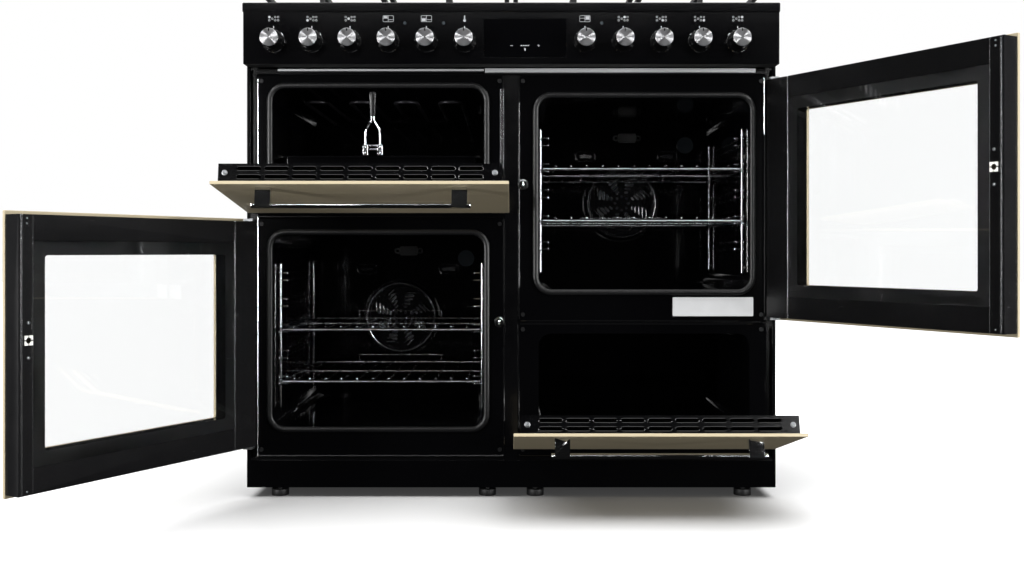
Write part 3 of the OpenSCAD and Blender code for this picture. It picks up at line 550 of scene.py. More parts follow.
@dataclass(frozen=True)
class SpunAluminium(Finish):
    """Aluminium disc faced on a lathe: its fine rings gather light in a bow tie across the middle. The tool's
    marks are about 0.05 mm apart on a real one, and drawn coarser here, at the grain, to show."""

    DISC_MM = 30.0

    def pattern(self, tree: Tree, place: Socket) -> tuple[Socket, Socket]:
        """Draws the lathe's rings round each knob's own axis.

        Args:
            tree: The material's nodes.
            place: Object coordinates, which aren't used: rings follow each disc's own box.

        Returns:
            The height and the tint.
        """
        own = add_node(tree, "TexCoord").outputs["Generated"]
        middle = add_node(tree, "VectorMath", {"operation": "SUBTRACT", 1: (0.5, 0.5, 0.5)}, {0: own})
        flat = add_node(tree, "VectorMath", {"operation": "MULTIPLY", 1: (1.0, 0.0, 1.0)},
                        {0: middle.outputs[0]})
        out = add_node(tree, "VectorMath", {"operation": "LENGTH"}, {0: flat.outputs[0]})
        rings = add_node(tree, "TexNoise", {
            "noise_dimensions": "1D", "Scale": self.DISC_MM / self.grain, "Detail": 4.0
        }, {"W": out.outputs["Value"]})
        return rings.outputs["Fac"], rings.outputs["Fac"]

    def complete(self, tree: Tree, shader: Node) -> None:
        """Turns the stretched highlight round the disc's axis."""
        round_it = add_node(tree, "Tangent", {"direction_type": "RADIAL", "axis": "Y"})
        tree.links.new(round_it.outputs[0], shader.inputs["Tangent"])


@dataclass(frozen=True)
class BrushedSteel(Finish):
    """Steel strip ground or rolled along its length: fine streaks that draw the light out across them. A real
    grit's scratches are under 0.1 mm wide, and drawn coarser here to show."""

    STRETCH = (0.025, 1.0, 1.0)

    def pattern(self, tree: Tree, place: Socket) -> tuple[Socket, Socket]:
        """Stretches the grain 40 times along X.

        Args:
            tree: The material's nodes.
            place: Object coordinates in metres.

        Returns:
            The height and the tint.
        """
        long = add_node(tree, "Mapping", {"Scale": self.STRETCH}, {"Vector": place})
        streaks = add_node(tree, "TexNoise", {"Scale": per_mm(self.grain), "Detail": 5.0},
                           {"Vector": long.outputs[0]})
        return streaks.outputs["Fac"], streaks.outputs["Fac"]


@dataclass(frozen=True)
class GalvanisedSteel(Finish):
    """Hot-dipped zinc on sheet steel: crystals of some 9 mm, each with its own dull sheen."""

    BEND = (0.004, 0.004, 0.004)

    def pattern(self, tree: Tree, place: Socket) -> tuple[Socket, Socket]:
        """Draws the zinc's crystals with Voronoi cells.

        Args:
            tree: The material's nodes.
            place: Object coordinates in metres.

        Returns:
            The height and the tint.
        """
        bent = add_node(tree, "TexNoise", {"Scale": per_mm(self.grain * 2)}, {"Vector": place})
        moved = add_node(tree, "VectorMath", {"operation": "MULTIPLY_ADD", 1: self.BEND},
                         {0: bent.outputs["Color"], 2: place})
        cells = add_node(tree, "TexVoronoi", {"Scale": per_mm(self.grain)}, {"Vector": moved.outputs[0]})
        shade = add_node(tree, "SeparateColor", links={"Color": cells.outputs["Color"]})
        return cells.outputs["Distance"], shade.outputs["Red"]


@dataclass(frozen=True)
class SandCasting(Finish):
    """Metal as it was cast: iron from sand under matt enamel, nearly black, or a grey burner alloy. Either is
    rough and pitted, and spreads the light."""

    def pattern(self, tree: Tree, place: Socket) -> tuple[Socket, Socket]:
        """Adds the sand's grains, as lumps of two sizes.

        Args:
            tree: The material's nodes.
            place: Object coordinates in metres.

        Returns:
            The height and the tint.
        """
        sand = add_node(tree, "TexNoise", {"Scale": per_mm(self.grain), "Detail": 6.0, "Roughness": 0.65},
                        {"Vector": place})
        pits = add_node(tree, "TexVoronoi", {"feature": "SMOOTH_F1", "Scale": per_mm(self.grain * 3)},
                        {"Vector": place})
        both = add_node(tree, "Math", {"operation": "ADD"},
                        {0: sand.outputs["Fac"], 1: pits.outputs["Distance"]})
        return both.outputs[0], sand.outputs["Fac"]


@dataclass(frozen=True)
class GlassBraid(Finish):
    """Glass-fibre sleeve braided over a wire core: two crossing lays of fine strands, a little fuzzy. Real
    strands are about 0.3 mm wide, and drawn about seven times as coarse here to show."""

    SLANT = 0.9
    WAVE = 6.28

    def pattern(self, tree: Tree, place: Socket) -> tuple[Socket, Socket]:
        """Crosses two slanting waves, which lift the strands in turn.

        Args:
            tree: The material's nodes.
            place: Object coordinates in metres.

        Returns:
            The height and the tint.
        """
        lays = []
        for slant in (self.SLANT, -self.SLANT):
            turned = add_node(tree, "Mapping", {"Rotation": (slant, slant, slant)}, {"Vector": place})
            wave = add_node(tree, "TexWave", {"Scale": per_mm(self.grain * self.WAVE), "Distortion": 0.4},
                            {"Vector": turned.outputs[0]})
            lays.append(wave.outputs["Fac"])
        crossed = add_node(tree, "Math", {"operation": "MAXIMUM"}, {0: lays[0], 1: lays[1]})
        return crossed.outputs[0], crossed.outputs[0]


@dataclass(frozen=True)
class OxidisedSheath(Finish):
    """Nickel-alloy tube of a heating element, blued and browned by heat in patches along it."""


@dataclass(frozen=True)
class ToughenedGlass(Finish):
    """Float glass, heated and chilled: clear, faintly grey, flat to a few hundredths of a millimetre."""


# Name, two colours, two glosses, grain in mm and relief in mm
BLACK_ENAMEL = VitreousEnamel("black_vitreous_enamel", "030304", "060607", (0.05, 0.11), 6.0, 0.006)
FASCIA_ENAMEL = VitreousEnamel("black_fascia_enamel", "030304", "050506", (0.07, 0.12), 4.0, 0.004)
CREAM_ENAMEL = VitreousEnamel("cream_baked_enamel", "d9cbac", "d6c8a8", (0.28, 0.31), 1.5, 0.0008)
BLACK_COAT = PowderCoat("black_powder_coat", "08080a", "0e0e10", (0.24, 0.34), 0.9, 0.012)
SHADOW_COAT = PowderCoat("black_frame_coat", "030304", "060607", (0.14, 0.22), 0.9, 0.006)
ZINC = GalvanisedSteel("galvanised_sheet", "9a9ea1", "7d8285", (0.32, 0.5), 9.0, 0.02, metallic=0.85)
CHROME_WIRE = BrightMetal("chrome_plated_wire", "dcdee0", "cfd1d4", (0.12, 0.16), 2.0, 0.001, metallic=1.0)
CHROME_BAR = BrightMetal("polished_chrome_bar", "e2e3e5", "d6d8da", (0.04, 0.08), 8.0, 0.003, metallic=1.0)
KNOB_FACE = SpunAluminium("spun_aluminium_face", "e6e6e8", "c9c9cc", (0.3, 0.42), 0.5, 0.0015, metallic=1.0,
                          extras=(("Anisotropic", 1.0), ("Anisotropic Rotation", 0.25)))
KNOB_BODY = MouldedPlastic("black_knob_moulding", "070708", "0b0b0c", (0.16, 0.24), 0.8, 0.004)
TRIM_STEEL = BrushedSteel("brushed_trim_strip", "e2e3e4", "c4c6c8", (0.46, 0.6), 0.6, 0.01, metallic=1.0)
SCREW_STEEL = BrightMetal("zinc_plated_screw", "b4b6b8", "85878a", (0.25, 0.4), 1.5, 0.01, metallic=1.0)
UNDERSIDE = PowderCoat("matt_black_primer", "050506", "08080a", (0.6, 0.75), 0.9, 0.01)
FIXING_BLACK = BrightMetal("black_oxide_screw", "1a1a1b", "262627", (0.3, 0.42), 1.5, 0.01, metallic=0.6)
IRON = SandCasting("enamelled_cast_iron", "0b0b0c", "151516", (0.5, 0.7), 0.9, 0.06)
BURNER_ALLOY = SandCasting("die_cast_burner", "77787b", "58595c", (0.38, 0.55), 0.6, 0.02, metallic=0.9)
CAP_ENAMEL = VitreousEnamel("matt_burner_cap_enamel", "0d0d0e", "131314", (0.3, 0.42), 1.2, 0.01)
CLEAR_PANE = ToughenedGlass("toughened_clear_pane", "ffffff", "fdfefe", (0.0, 0.01), 30.0, 0.001,
                            extras=(("Transmission Weight", 1.0),))
PANE_FRIT = PrintedInk("black_pane_border", "2c2c2d", "303031", (0.3, 0.4), 0.7, 0.003)
FRAME_COAT = PowderCoat("door_frame_coat", "161617", "1a1a1b", (0.2, 0.3), 0.9, 0.004)
# Bright steel for thin lines on dark edges: its shine is a painted highlight where the black edges catch the
# light
HIGHLIGHT_EDGE_STEEL = BrushedSteel("highlight_edge_steel", "dcdee0", "c4c6c9", (0.2, 0.3), 0.6, 0.003, metallic=1.0)
CATCH_NYLON = MouldedPlastic("white_catch_nylon", "eceae4", "e2e0da", (0.3, 0.4), 0.8, 0.004)
DISPLAY = ToughenedGlass("black_display_glass", "030304", "050506", (0.03, 0.07), 20.0, 0.002)
INK = PrintedInk("white_ceramic_ink", "b4b6b8", "a0a3a6", (0.45, 0.6), 0.4, 0.004)
LENS = ToughenedGlass("moulded_lamp_lens", "24282b", "3a4044", (0.06, 0.16), 1.6, 0.05)
SEAL = GlassBraid("braided_glass_seal", "09090a", "131314", (0.26, 0.36), 1.1, 0.05)
HEATER = OxidisedSheath("heat_blued_sheath", "2b2724", "3a3b42", (0.32, 0.5), 3.0, 0.01, metallic=0.8)
BRASS = BrightMetal("turned_brass", "b8924f", "9a7838", (0.2, 0.34), 1.2, 0.006, metallic=1.0)
MOTOR_STEEL = BrushedSteel("motor_lamination_steel", "6c6e71", "56585b", (0.35, 0.5), 0.7, 0.02, metallic=0.9)
FOOT_PLASTIC = MouldedPlastic("black_foot_moulding", "0e0e0f", "151516", (0.45, 0.6), 0.9, 0.02)
GRIP = MouldedPlastic("black_phenolic_grip", "0b0b0c", "121213", (0.22, 0.34), 1.1, 0.008)
PLATE = PrintedInk("white_rating_plate", "e4e5e6", "d9dadb", (0.35, 0.45), 0.6, 0.003)
STEEL_BLACK = VitreousEnamel("black_fan_cover_enamel", "08080a", "0e0e11", (0.1, 0.16), 3.0, 0.004)


@dataclass
class Studio:
    """White floor and backdrop, soft boxes and the camera. Lengths are in metres."""

    eye: Point = (0.0, -2.089, 0.4681)
    lens: float = 37.47
    sensor: float = 36.0
    shift: Flat = (0.0007, -0.0344)
    clip: Flat = (0.05, 100.0)
    floor_half: float = 14.0
    floor_colour: str = "e8e8e8"
    floor_gloss: float = 0.9
    # Glow of the floor, and the distances in m over which it rises: painted light, dim near the object and full
    # further off
    floor_glow: Flat = (0.04, 1.0)
    glow_from: Flat = (0.5, 1.5)
    room_gloss: float = 0.006
    room_soft: float = 0.16
    pane_gain: float = 1.16

    def camera(self) -> None:
        """Makes the camera, level and square to the front."""
        data = bpy.data.cameras.new("Camera")
        data.lens = self.lens
        data.sensor_width = self.sensor
        data.shift_x, data.shift_y = self.shift
        data.clip_start, data.clip_end = self.clip
        made = place_object("Camera", data)
        made.location = self.eye
        made.rotation_euler = (math.radians(90), 0.0, 0.0)
        bpy.context.scene.camera = made

    def soft_box(self, name: str, at: Point, aim: Point, size: Flat, watts: float,
                 spares: tuple[str, ...] = (), only: tuple[str, ...] = ()) -> None:
        """Hangs a soft box.

        Args:
            name: Its name.
            at: Its middle.
            aim: The point that it faces.
            size: Width and height.
            watts: Its power.
            spares: Pieces that it doesn't light, by the end of their names.
            only: The only pieces that it lights, by the end of their names.
        """
        data = bpy.data.lights.new(name, "AREA")
        data.shape = "RECTANGLE"
        data.size, data.size_y = size
        data.energy = watts
        made = place_object(name, data)
        made.location = at
        made.rotation_euler = (Vector(aim) - Vector(at)).to_track_quat("-Z", "Y").to_euler()
        if spares or only:
            flagged = bpy.data.collections.new(f"{name}Flagged")
            made.light_linking.receiver_collection = flagged
            for piece in [o for o in bpy.context.scene.objects if o.name.endswith(spares or only)]:
                flagged.objects.link(piece)
            for entry in flagged.collection_objects:
                entry.light_linking.link_state = "INCLUDE" if only else "EXCLUDE"

    def world(self) -> None:
        """Lights the room dimly, and shows white behind the object and through its windows.

        The room is darker still in reflections, which keeps gloss black as deep as in a retouched picture.
        """
        made = bpy.data.worlds.new("Studio")
        made.use_nodes = True
        tree = made.node_tree
        tree.nodes.clear()
        path = add_node(tree, "LightPath")
        bounced = add_node(tree, "Math", {"operation": "ADD"},
                           {0: path.outputs["Glossy Depth"], 1: path.outputs["Diffuse Depth"]})
        clean = add_node(tree, "Math", {"operation": "LESS_THAN", 1: 0.5}, {0: bounced.outputs[0]})
        through = add_node(tree, "Math", {"operation": "MULTIPLY"},
                           {0: path.outputs["Is Transmission Ray"], 1: clean.outputs[0]})
        seen = add_node(tree, "Math", {"operation": "MAXIMUM"},
                        {0: path.outputs["Is Camera Ray"], 1: through.outputs[0]})
        dim = add_node(tree, "MapRange", {"To Min": self.room_gloss, "To Max": self.room_soft},
                       {"Value": path.outputs["Is Diffuse Ray"]})
        glare = add_node(tree, "MapRange", {"To Min": 1.0, "To Max": self.pane_gain},
                         {"Value": through.outputs[0]})
        room, white = (
            add_node(tree, "Background", {"Color": linear(WHITE)}, {"Strength": strength.outputs[0]})
            for strength in (dim, glare))
        both = add_node(tree, "MixShader",
                        links={0: seen.outputs[0], 1: room.outputs[0], 2: white.outputs[0]})
        add_node(tree, "OutputWorld", links={"Surface": both.outputs[0]})
        bpy.context.scene.world = made

    def floor(self) -> None:
        """Lays the white floor, which glows faintly near the object and fully at a distance from it: painted
        light, darker round the object and bright enough further off to wash out cast shadows.
        """
        half = self.floor_half
        mesh = bpy.data.meshes.new("Floor")
        mesh.from_pydata([(-half, -half, 0), (half, -half, 0), (half, half, 0), (-half, half, 0)], [],
                         [(0, 1, 2, 3)])
        made = place_object("Floor", mesh)
        paint = bpy.data.materials.new("studio_floor")
        paint.use_nodes = True
        tree = paint.node_tree
        shader = tree.nodes["Principled BSDF"]
        for name, value in (("Base Color", linear(self.floor_colour)), ("Roughness", self.floor_gloss),
                            ("Specular IOR Level", 0.0), ("Emission Color", linear(WHITE))):
            shader.inputs[name].default_value = value
        # Painted light: the floor's glow rises with the distance from the object
        place = add_node(tree, "TexCoord")
        away = add_node(tree, "VectorMath", {"operation": "LENGTH"}, {0: place.outputs["Object"]})
        (near, far), (dim, bright) = self.glow_from, self.floor_glow
        glow = add_node(tree, "MapRange", {"From Min": near, "From Max": far, "To Min": dim, "To Max": bright},
                        {"Value": away.outputs["Value"]})
        tree.links.new(glow.outputs[0], shader.inputs["Emission Strength"])
        mesh.materials.append(paint)
        made.visible_glossy = made.visible_transmission = made.visible_diffuse = False

    def lamps(self) -> None:
        """Hangs the soft boxes.

        Some light only the floor or small bright fittings, and some spare broad faces, which a retouched studio
        picture shows evenly lit. All of them but the floor's own spare the floor.
        """
        floor, border = ("Floor",), ("RightDoorPaneBorders",)
        self.soft_box("FloorSky", (0.0, -0.9, 3.8), (0.0, -0.2, 0.0), (8.0, 4.5), 500.0, only=floor)
        self.soft_box("Overhead", (0.0, -0.7, 3.0), (0.0, 0.1, 0.6), (3.4, 1.6), 60.0, floor)
        self.soft_box("FrontBar", (0.0, -2.6, 1.65), (0.0, 0.0, 0.5), (2.4, 0.12), 8.0,
                      ("Face", "door_inner", "door_panel") + floor + border)
        self.soft_box("Flash", (0.0, -2.2, 0.8), (0.0, 0.0, 0.4), (0.3, 0.3), 16.0,
                      only=("Ends", "StudHeads", "Catch", "Clamps", "Ovals"))
        for side, name in ((-1, "Left"), (1, "Right")):
            far = floor + border + ("right_door_frame",) if side < 0 else floor
            self.soft_box(f"{name}Strip", (side * 2.3, -1.9, 0.65), (0.0, 0.0, 0.5), (0.2, 1.3), 44.0, far)
            self.soft_box(f"{name}High", (side * 2.4, -2.0, 2.5), (0.0, 0.0, 0.8), (0.3, 0.6), 30.0, far)
            self.soft_box(f"{name}Near", (side * 1.36, -2.55, 0.7), (0.0, 0.3, 0.5), (0.1, 1.0), 9.0,
                          ("Face", "door_panel") + floor + border)
            self.soft_box(f"{name}Flank", (side * 3.0, 1.9, 1.1), (0.0, 0.4, 0.5), (1.6, 1.6), 30.0,
                          ("door_panel",) + floor)
            self.soft_box(f"{name}Glint", (side * 1.1, -2.5, 0.9), (0.0, 0.4, 0.5), (0.3, 0.8), 220.0,
                          only=("Lips",))
        self.soft_box("Rear", (0.0, 2.6, 2.4), (0.0, 0.4, 0.5), (3.0, 1.4), 50.0, floor)

    def build(self) -> None:
        """Sets up the whole studio."""
        self.camera()
        self.world()
        self.floor()
        self.lamps()
        bpy.context.scene.view_settings.view_transform = "Standard"


# Finish, slot, width of the rounded edges in mm, and the CAD nodes that have them
CAD_FINISHES: tuple[tuple[Finish, str, float, str], ...] = (
    (SHADOW_COAT, "black_coat", 0.4, "chassis"),
    (SHADOW_COAT, "black_coat", 0.6, "grill_door_inner storage_door_inner"),
    (FRAME_COAT, "black_coat", 0.6, "left_door_frame right_door_frame"),
    (FIXING_BLACK, "black_coat", 0.4, "frame_fasteners"),
    (BLACK_ENAMEL, "black_enamel", 0.5, "side_panels"),
    (BLACK_ENAMEL, "black_enamel", 0.6,
     "plinth grill_liner left_oven_liner right_oven_liner storage_liner grill_pan"),
    (BLACK_ENAMEL, "black_enamel", 2.2, "hob_tray"),
    (FASCIA_ENAMEL, "black_enamel", 0.7, "fascia"),
    (CREAM_ENAMEL, "cream_enamel", 0.8,
     "left_door_panel right_door_panel grill_door_panel storage_door_panel"),
    (CAP_ENAMEL, "cast_iron", 0.5, "burner_caps"),
    (IRON, "cast_iron", 1.2, "pan_supports"),
    (BURNER_ALLOY, "burner_alloy", 0.4, "burners"),
    (ZINC, "zinc_steel", 0.4, "rear_cover"),
    (SCREW_STEEL, "zinc_steel", 0.4, "hinge_brackets"),
    (TRIM_STEEL, "trim_steel", 0.5, "vent_trim"),
    (MOTOR_STEEL, "motor_steel", 0.6, "fan_motors"),
    (MOTOR_STEEL, "motor_steel", 0.3, "left_fan right_fan"),
    (HEATER, "heater_steel", 0.0, "fan_elements grill_element"),
    (CHROME_WIRE, "chrome_wire", 0.0,
     "shelf_ladders left_shelf_lower left_shelf_upper right_shelf_lower right_shelf_upper"),
    (CHROME_BAR, "chrome_bar", 0.8, "left_door_handle right_door_handle"),
    (CHROME_BAR, "chrome_bar", 1.6, "grill_door_handle storage_door_handle"),
    (BRASS, "brass", 0.5, "control_taps"),
    (BRASS, "brass", 0.4, "gas_inlet"),
    (DISPLAY, "display_black", 0.4, "display_glass"),
    (LENS, "lens", 0.6, "lamp_lenses"),
    (FOOT_PLASTIC, "foot_plastic", 1.0, "feet"),
)


def screw_profile(r: float) -> list[Flat]:
    """Gives the profile of a pan-head screw with a round drive, as (radius, height) pairs."""
    return [(0, 0), (r, 0), (r, 0.35 * r), (0.86 * r, 0.62 * r), (0.5 * r, 0.7 * r), (0.42 * r, 0.62 * r),
            (0.36 * r, 0.22 * r), (0, 0.2 * r)]


@dataclass
class SideDoor:
    """Panes, catch, screws and rolled edges of a side-hung oven door, drawn shut on the right, the edges in
    bright steel as painted highlights; the rest of it is the CAD's."""

    name: str
    side: str
    turn: Turn
    z0: float
    z1: float
    catch_z: float
    window_x: Flat = (52.0, 422.0)
    sill: float = 68.0
    rebate: float = 22.0
    pane_t: float = 3.5
    print_t: float = 0.1
    play: float = 0.1
    catch_x: float = 22.5
    jaw: Flat = (7.0, 7.5)
    jaw_gap: float = 0.7
    throat_r: float = 4.6
    catch_t: Flat = (1.0, 1.6)
    screw_rise: float = 26.5
    screw_r: float = 2.6
    corner_x: float = 20.0
    corner_screw_r: float = 1.5
    free_x: float = 11.0
    edge_end: float = 7.0

    @property
    def body(self) -> str:
        """The CAD body that carries the door."""
        return f"{self.side}_oven_door"

    def outline(self, grow: float, r: float) -> list[Flat]:
        """Gives the window's outline, grown by some mm."""
        low, high = self.window_x
        return rounded(low - grow, high + grow, self.z0 + self.sill - grow, self.z1 - self.sill + grow, r)

    def panes(self) -> None:
        """Sets two clear panes in the frame, each with a black border printed on its inner side."""
        edge = self.outline(self.rebate - self.play, 3.0)
        glass, border = Draft(), Draft()
        outer = SKIN_Y + self.play
        inner = INNER_Y - self.play
        glass.prism(edge, outer, outer + self.pane_t).prism(edge, inner - self.pane_t, inner)
        clear = self.outline(0.0, 5.0)
        border.collar(edge, clear, outer + self.pane_t, outer + self.pane_t + self.print_t)
        border.collar(edge, clear, inner - self.pane_t - self.print_t, inner - self.pane_t)
        glass.make(f"{self.name}Panes", self.body, CLEAR_PANE, self.turn, 0.3, "dark_glass",
                   (f"{self.side}_door_glass",))
        border.make(f"{self.name}PaneBorders", self.body, PANE_FRIT, self.turn, slot="black_enamel")

    def catch(self) -> None:
        """Sets the four jaws that grip the stud, a screw above and below them, and three in the corners."""
        wide, tall = self.jaw
        start = math.asin(self.jaw_gap / self.throat_r)
        bends = 5
        turns = [math.pi / 2 - start - (math.pi / 2 - 2 * start) * i / bends for i in range(bends + 1)]
        quarter = [(wide, self.jaw_gap), (wide, tall), (self.jaw_gap, tall)]
        quarter += [(self.throat_r * math.cos(t), self.throat_r * math.sin(t)) for t in turns]
        jaws = Draft()
        proud, sunk = self.catch_t
        for across in (1, -1):
            for up in (1, -1):
                jaws.prism([(self.catch_x + across * x, self.catch_z + up * z) for x, z in quarter],
                           INNER_Y - proud, INNER_Y + sunk)
        jaws.make(f"{self.name}Catch", self.body, CATCH_NYLON, self.turn, 0.5)
        screws = Draft()
        spots = [(self.catch_x, self.catch_z + up, self.screw_r) for up in (self.screw_rise, -self.screw_rise)]
        spots += [(self.corner_x, z, self.corner_screw_r)
                  for z in (self.z1 - 12.0, self.z1 - 20.0, self.z0 + 12.0)]
        for x, z, r in spots:
            screws.lathe([(a, -h) for a, h in screw_profile(r)], (x, INNER_Y, z), steps=20)
        screws.make(f"{self.name}Screws", self.body, SCREW_STEEL, self.turn, slot="trim_steel")

    def profiles(self) -> None:
        """Runs thin rolled edges down the inner pane's sides and the frame's corners, in bright steel whose
        shine is a painted highlight on the door's dark edges.
        """
        low, high = self.window_x
        # Bright steel tubes: painted highlights on the door's dark edges
        edges = Draft()
        for x, y, r in ((low - self.rebate, INNER_Y - 0.75, 1.0), (high + self.rebate, INNER_Y - 1.0, 1.3),
                        (self.free_x, INNER_Y + 0.2, 1.4), (self.free_x, SKIN_Y + 3.0, 1.1)):
            edges.tube([(x, y, self.z0 + self.edge_end), (x, y, self.z1 - self.edge_end)], r, 10)
        edges.make(f"{self.name}RolledEdges", self.body, HIGHLIGHT_EDGE_STEEL, self.turn, slot="trim_steel")

    def build(self) -> None:
        """Builds the door's pieces."""
        self.panes()
        self.catch()
        self.profiles()


@dataclass
class Knob:
    """A turned knob: black moulding, spun aluminium face with a pointer, and a chrome ring round its skirt."""

    number: int
    skirt: Flat = (20.5, 6.5)
    grip_r: float = 17.1
    face_r: float = 16.4
    depth: float = 41.5
    gap: float = 0.5
    ring: Flat = (21.0, 1.8)
    face_t: float = 0.9
    pointer: tuple[float, float, float] = (1.3, 5.1, 0.6)

    def build(self) -> None:
        """Builds the knob's four pieces."""
        body = f"knob_{self.number}"
        name = f"Knob{self.number}"
        at = (KNOB_XS[self.number - 1], FRONT_Y - self.gap, KNOB_Z)
        r, h = self.skirt
        end = self.depth - self.face_t
        Draft().lathe([
            (0, 0), (r, 0), (r, h - 2.2), (r - 0.7, h - 0.8), (r - 2.0, h + 0.4), (self.grip_r + 0.3, h + 2.0),
            (self.grip_r, h + 4.5), (self.grip_r, end - 1.4), (self.grip_r - 0.3, end - 0.5),
            (self.grip_r - 0.7, end), (0, end)
        ], at, steps=56).make(f"{name}Moulding", body, KNOB_BODY, slot="grip_plastic", stands_for=(body,))
        Draft().lathe([
            (0, end), (self.face_r, end), (self.face_r, end + 0.5), (self.face_r - 0.6, self.depth - 0.02),
            (self.face_r * 0.5, self.depth), (0, self.depth)
        ], at, steps=64).make(f"{name}Face", body, KNOB_FACE, slot="spun_aluminium", smooth=20)
        outer, tall = self.ring
        Draft().hoop([(r, 0.2), (outer, 0.5), (outer, tall - 0.4), (outer - 0.4, tall), (r, tall)], at,
                     steps=56).make(f"{name}Ring", body, CHROME_BAR, slot="chrome_bar")
        x, y, z = at
        half, long, corner = self.pointer
        top = z + self.face_r - 0.5
        line = rounded(x - half, x + half, top - long, top, corner, 3)
        Draft().prism(line, y - self.depth - 0.08, y - self.depth + 0.3).make(
            f"{name}Pointer", body, KNOB_BODY, slot="grip_plastic")


class Mark(Enum):
    """What a knob works, as its pictogram shows."""

    REAR_LEFT = (0,)
    FRONT_LEFT = (1,)
    CENTRE = (2,)
    REAR_INNER = (3,)
    FRONT_INNER = (4,)
    REAR_RIGHT = (5,)
    FRONT_RIGHT = (6,)
    GRILL = ("left", 1)
    LEFT_OVEN = ("left", 0)
    RIGHT_OVEN = ("right", 1)
    HEAT = ("heat",)


@dataclass
class PanelMarks:
    """White pictograms, ticks and display signs, fired on the fascia and the display glass."""

    rise: float = 42.0
    tick_rise: float = 24.0
    ink_t: float = 0.1
    line: float = 0.7
    marks: tuple[Mark, ...] = (
        Mark.REAR_LEFT, Mark.FRONT_LEFT, Mark.CENTRE, Mark.GRILL, Mark.LEFT_OVEN, Mark.HEAT, Mark.RIGHT_OVEN,
        Mark.REAR_INNER, Mark.FRONT_INNER, Mark.FRONT_RIGHT, Mark.REAR_RIGHT)
    rings: tuple[Flat, ...] = ((-8, 3), (-8, -3), (-2.6, 0), (2.8, 3), (2.8, -3), (8.2, 3), (8.2, -3))

    def hob_mark(self, ink: Draft, x: float, z: float, filled: int) -> None:
        """Draws seven burner rings, one of them filled.

        Args:
            ink: Where it is drawn.
            x: Its middle.
            z: Its middle's height.
            filled: The filled ring's number.
        """
        back, front = FRONT_Y, FRONT_Y - self.ink_t
        for i, (across, up) in enumerate(self.rings):
            if i == filled:
                ink.prism(disc(x + across, z + up, 2.3), front, back)
            else:
                ink.collar(disc(x + across, z + up, 1.9), disc(x + across, z + up, 1.25), front, back)

    def oven_mark(self, ink: Draft, x: float, z: float, half: str, upper: int) -> None:
        """Draws the cooker's four compartments, one of them filled.

        Args:
            ink: Where it is drawn.
            x: Its middle.
            z: Its middle's height.
            half: The filled one's side, left or right.
            upper: 1 if the upper one of that side is filled, else 0.
        """
        back, front = FRONT_Y, FRONT_Y - self.ink_t
        ink.collar(rounded(x - 10, x + 10, z - 6, z + 6, 2), rounded(x - 9.3, x + 9.3, z - 5.3, z + 5.3, 1.4),
                   front, back)
        ink.block(x - self.line / 2, x + self.line / 2, front, back, z - 5.4, z + 5.4)
        ink.block(x - 9.4, x - self.line / 2, front, back, z + 0.4, z + 0.4 + self.line)
        ink.block(x + self.line / 2, x + 9.4, front, back, z - 2.2, z - 2.2 + self.line)
        left = half == "left"
        split = z + 0.8 if left else z - 1.9
        low, high = (split + 0.9, z + 4.6) if upper else (z - 4.6, split - 0.9)
        ink.block(x - 8.4 if left else x + 1.4, x - 1.4 if left else x + 8.4, front, back, low, high)

    def heat_mark(self, ink: Draft, x: float, z: float) -> None:
        """Draws a thermometer.

        Args:
            ink: Where it is drawn.
            x: Its middle.
            z: Its middle's height.
        """
        back, front = FRONT_Y, FRONT_Y - self.ink_t
        ink.prism(disc(x, z - 3.4, 2.6), front, back)
        ink.prism(rounded(x - 1.1, x + 1.1, z - 2, z + 6, 1.0, 4), front, back)

    def fascia(self) -> None:
        """Draws each knob's pictogram and its tick."""
        ink = Draft()
        for x, mark in zip(KNOB_XS, self.marks):
            z = KNOB_Z + self.rise
            if mark is Mark.HEAT:
                self.heat_mark(ink, x, z)
            elif len(mark.value) == 2:
                self.oven_mark(ink, x, z, *mark.value)
            else:
                self.hob_mark(ink, x, z, mark.value[0])
            low = KNOB_Z + self.tick_rise
            ink.prism(rounded(x - 0.8, x + 0.8, low, low + 4.4, 0.7, 3), FRONT_Y - self.ink_t, FRONT_Y)
        ink.make("FasciaMarks", BODY, INK)

    def display(self) -> None:
        """Draws the touch signs on the display: less, a bar with a dot, and more."""
        low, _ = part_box("display_glass")
        back = low[1] / MM
        front = back - self.ink_t
        z = KNOB_Z - 8.0
        ink = Draft()
        ink.block(-2.0, 2.8, front, back, z - 0.5, z + 0.5)
        ink.block(48.6, 52.8, front, back, z - 0.5, z + 0.5)
        ink.block(50.2, 51.2, front, back, z - 2.1, z + 2.1)
        for x in (19.0, 23.2, 27.4, 31.6):
            ink.block(x - 1.5, x + 1.5, front, back, z - 0.9, z + 0.9)
        ink.prism(rounded(24.3, 26.7, z - 9.5, z - 4.5, 1.1, 4), front, back)
        ink.make("DisplaySigns", BODY, INK)

    def build(self) -> None:
        """Builds both sets of marks."""
        self.fascia()
        self.display()


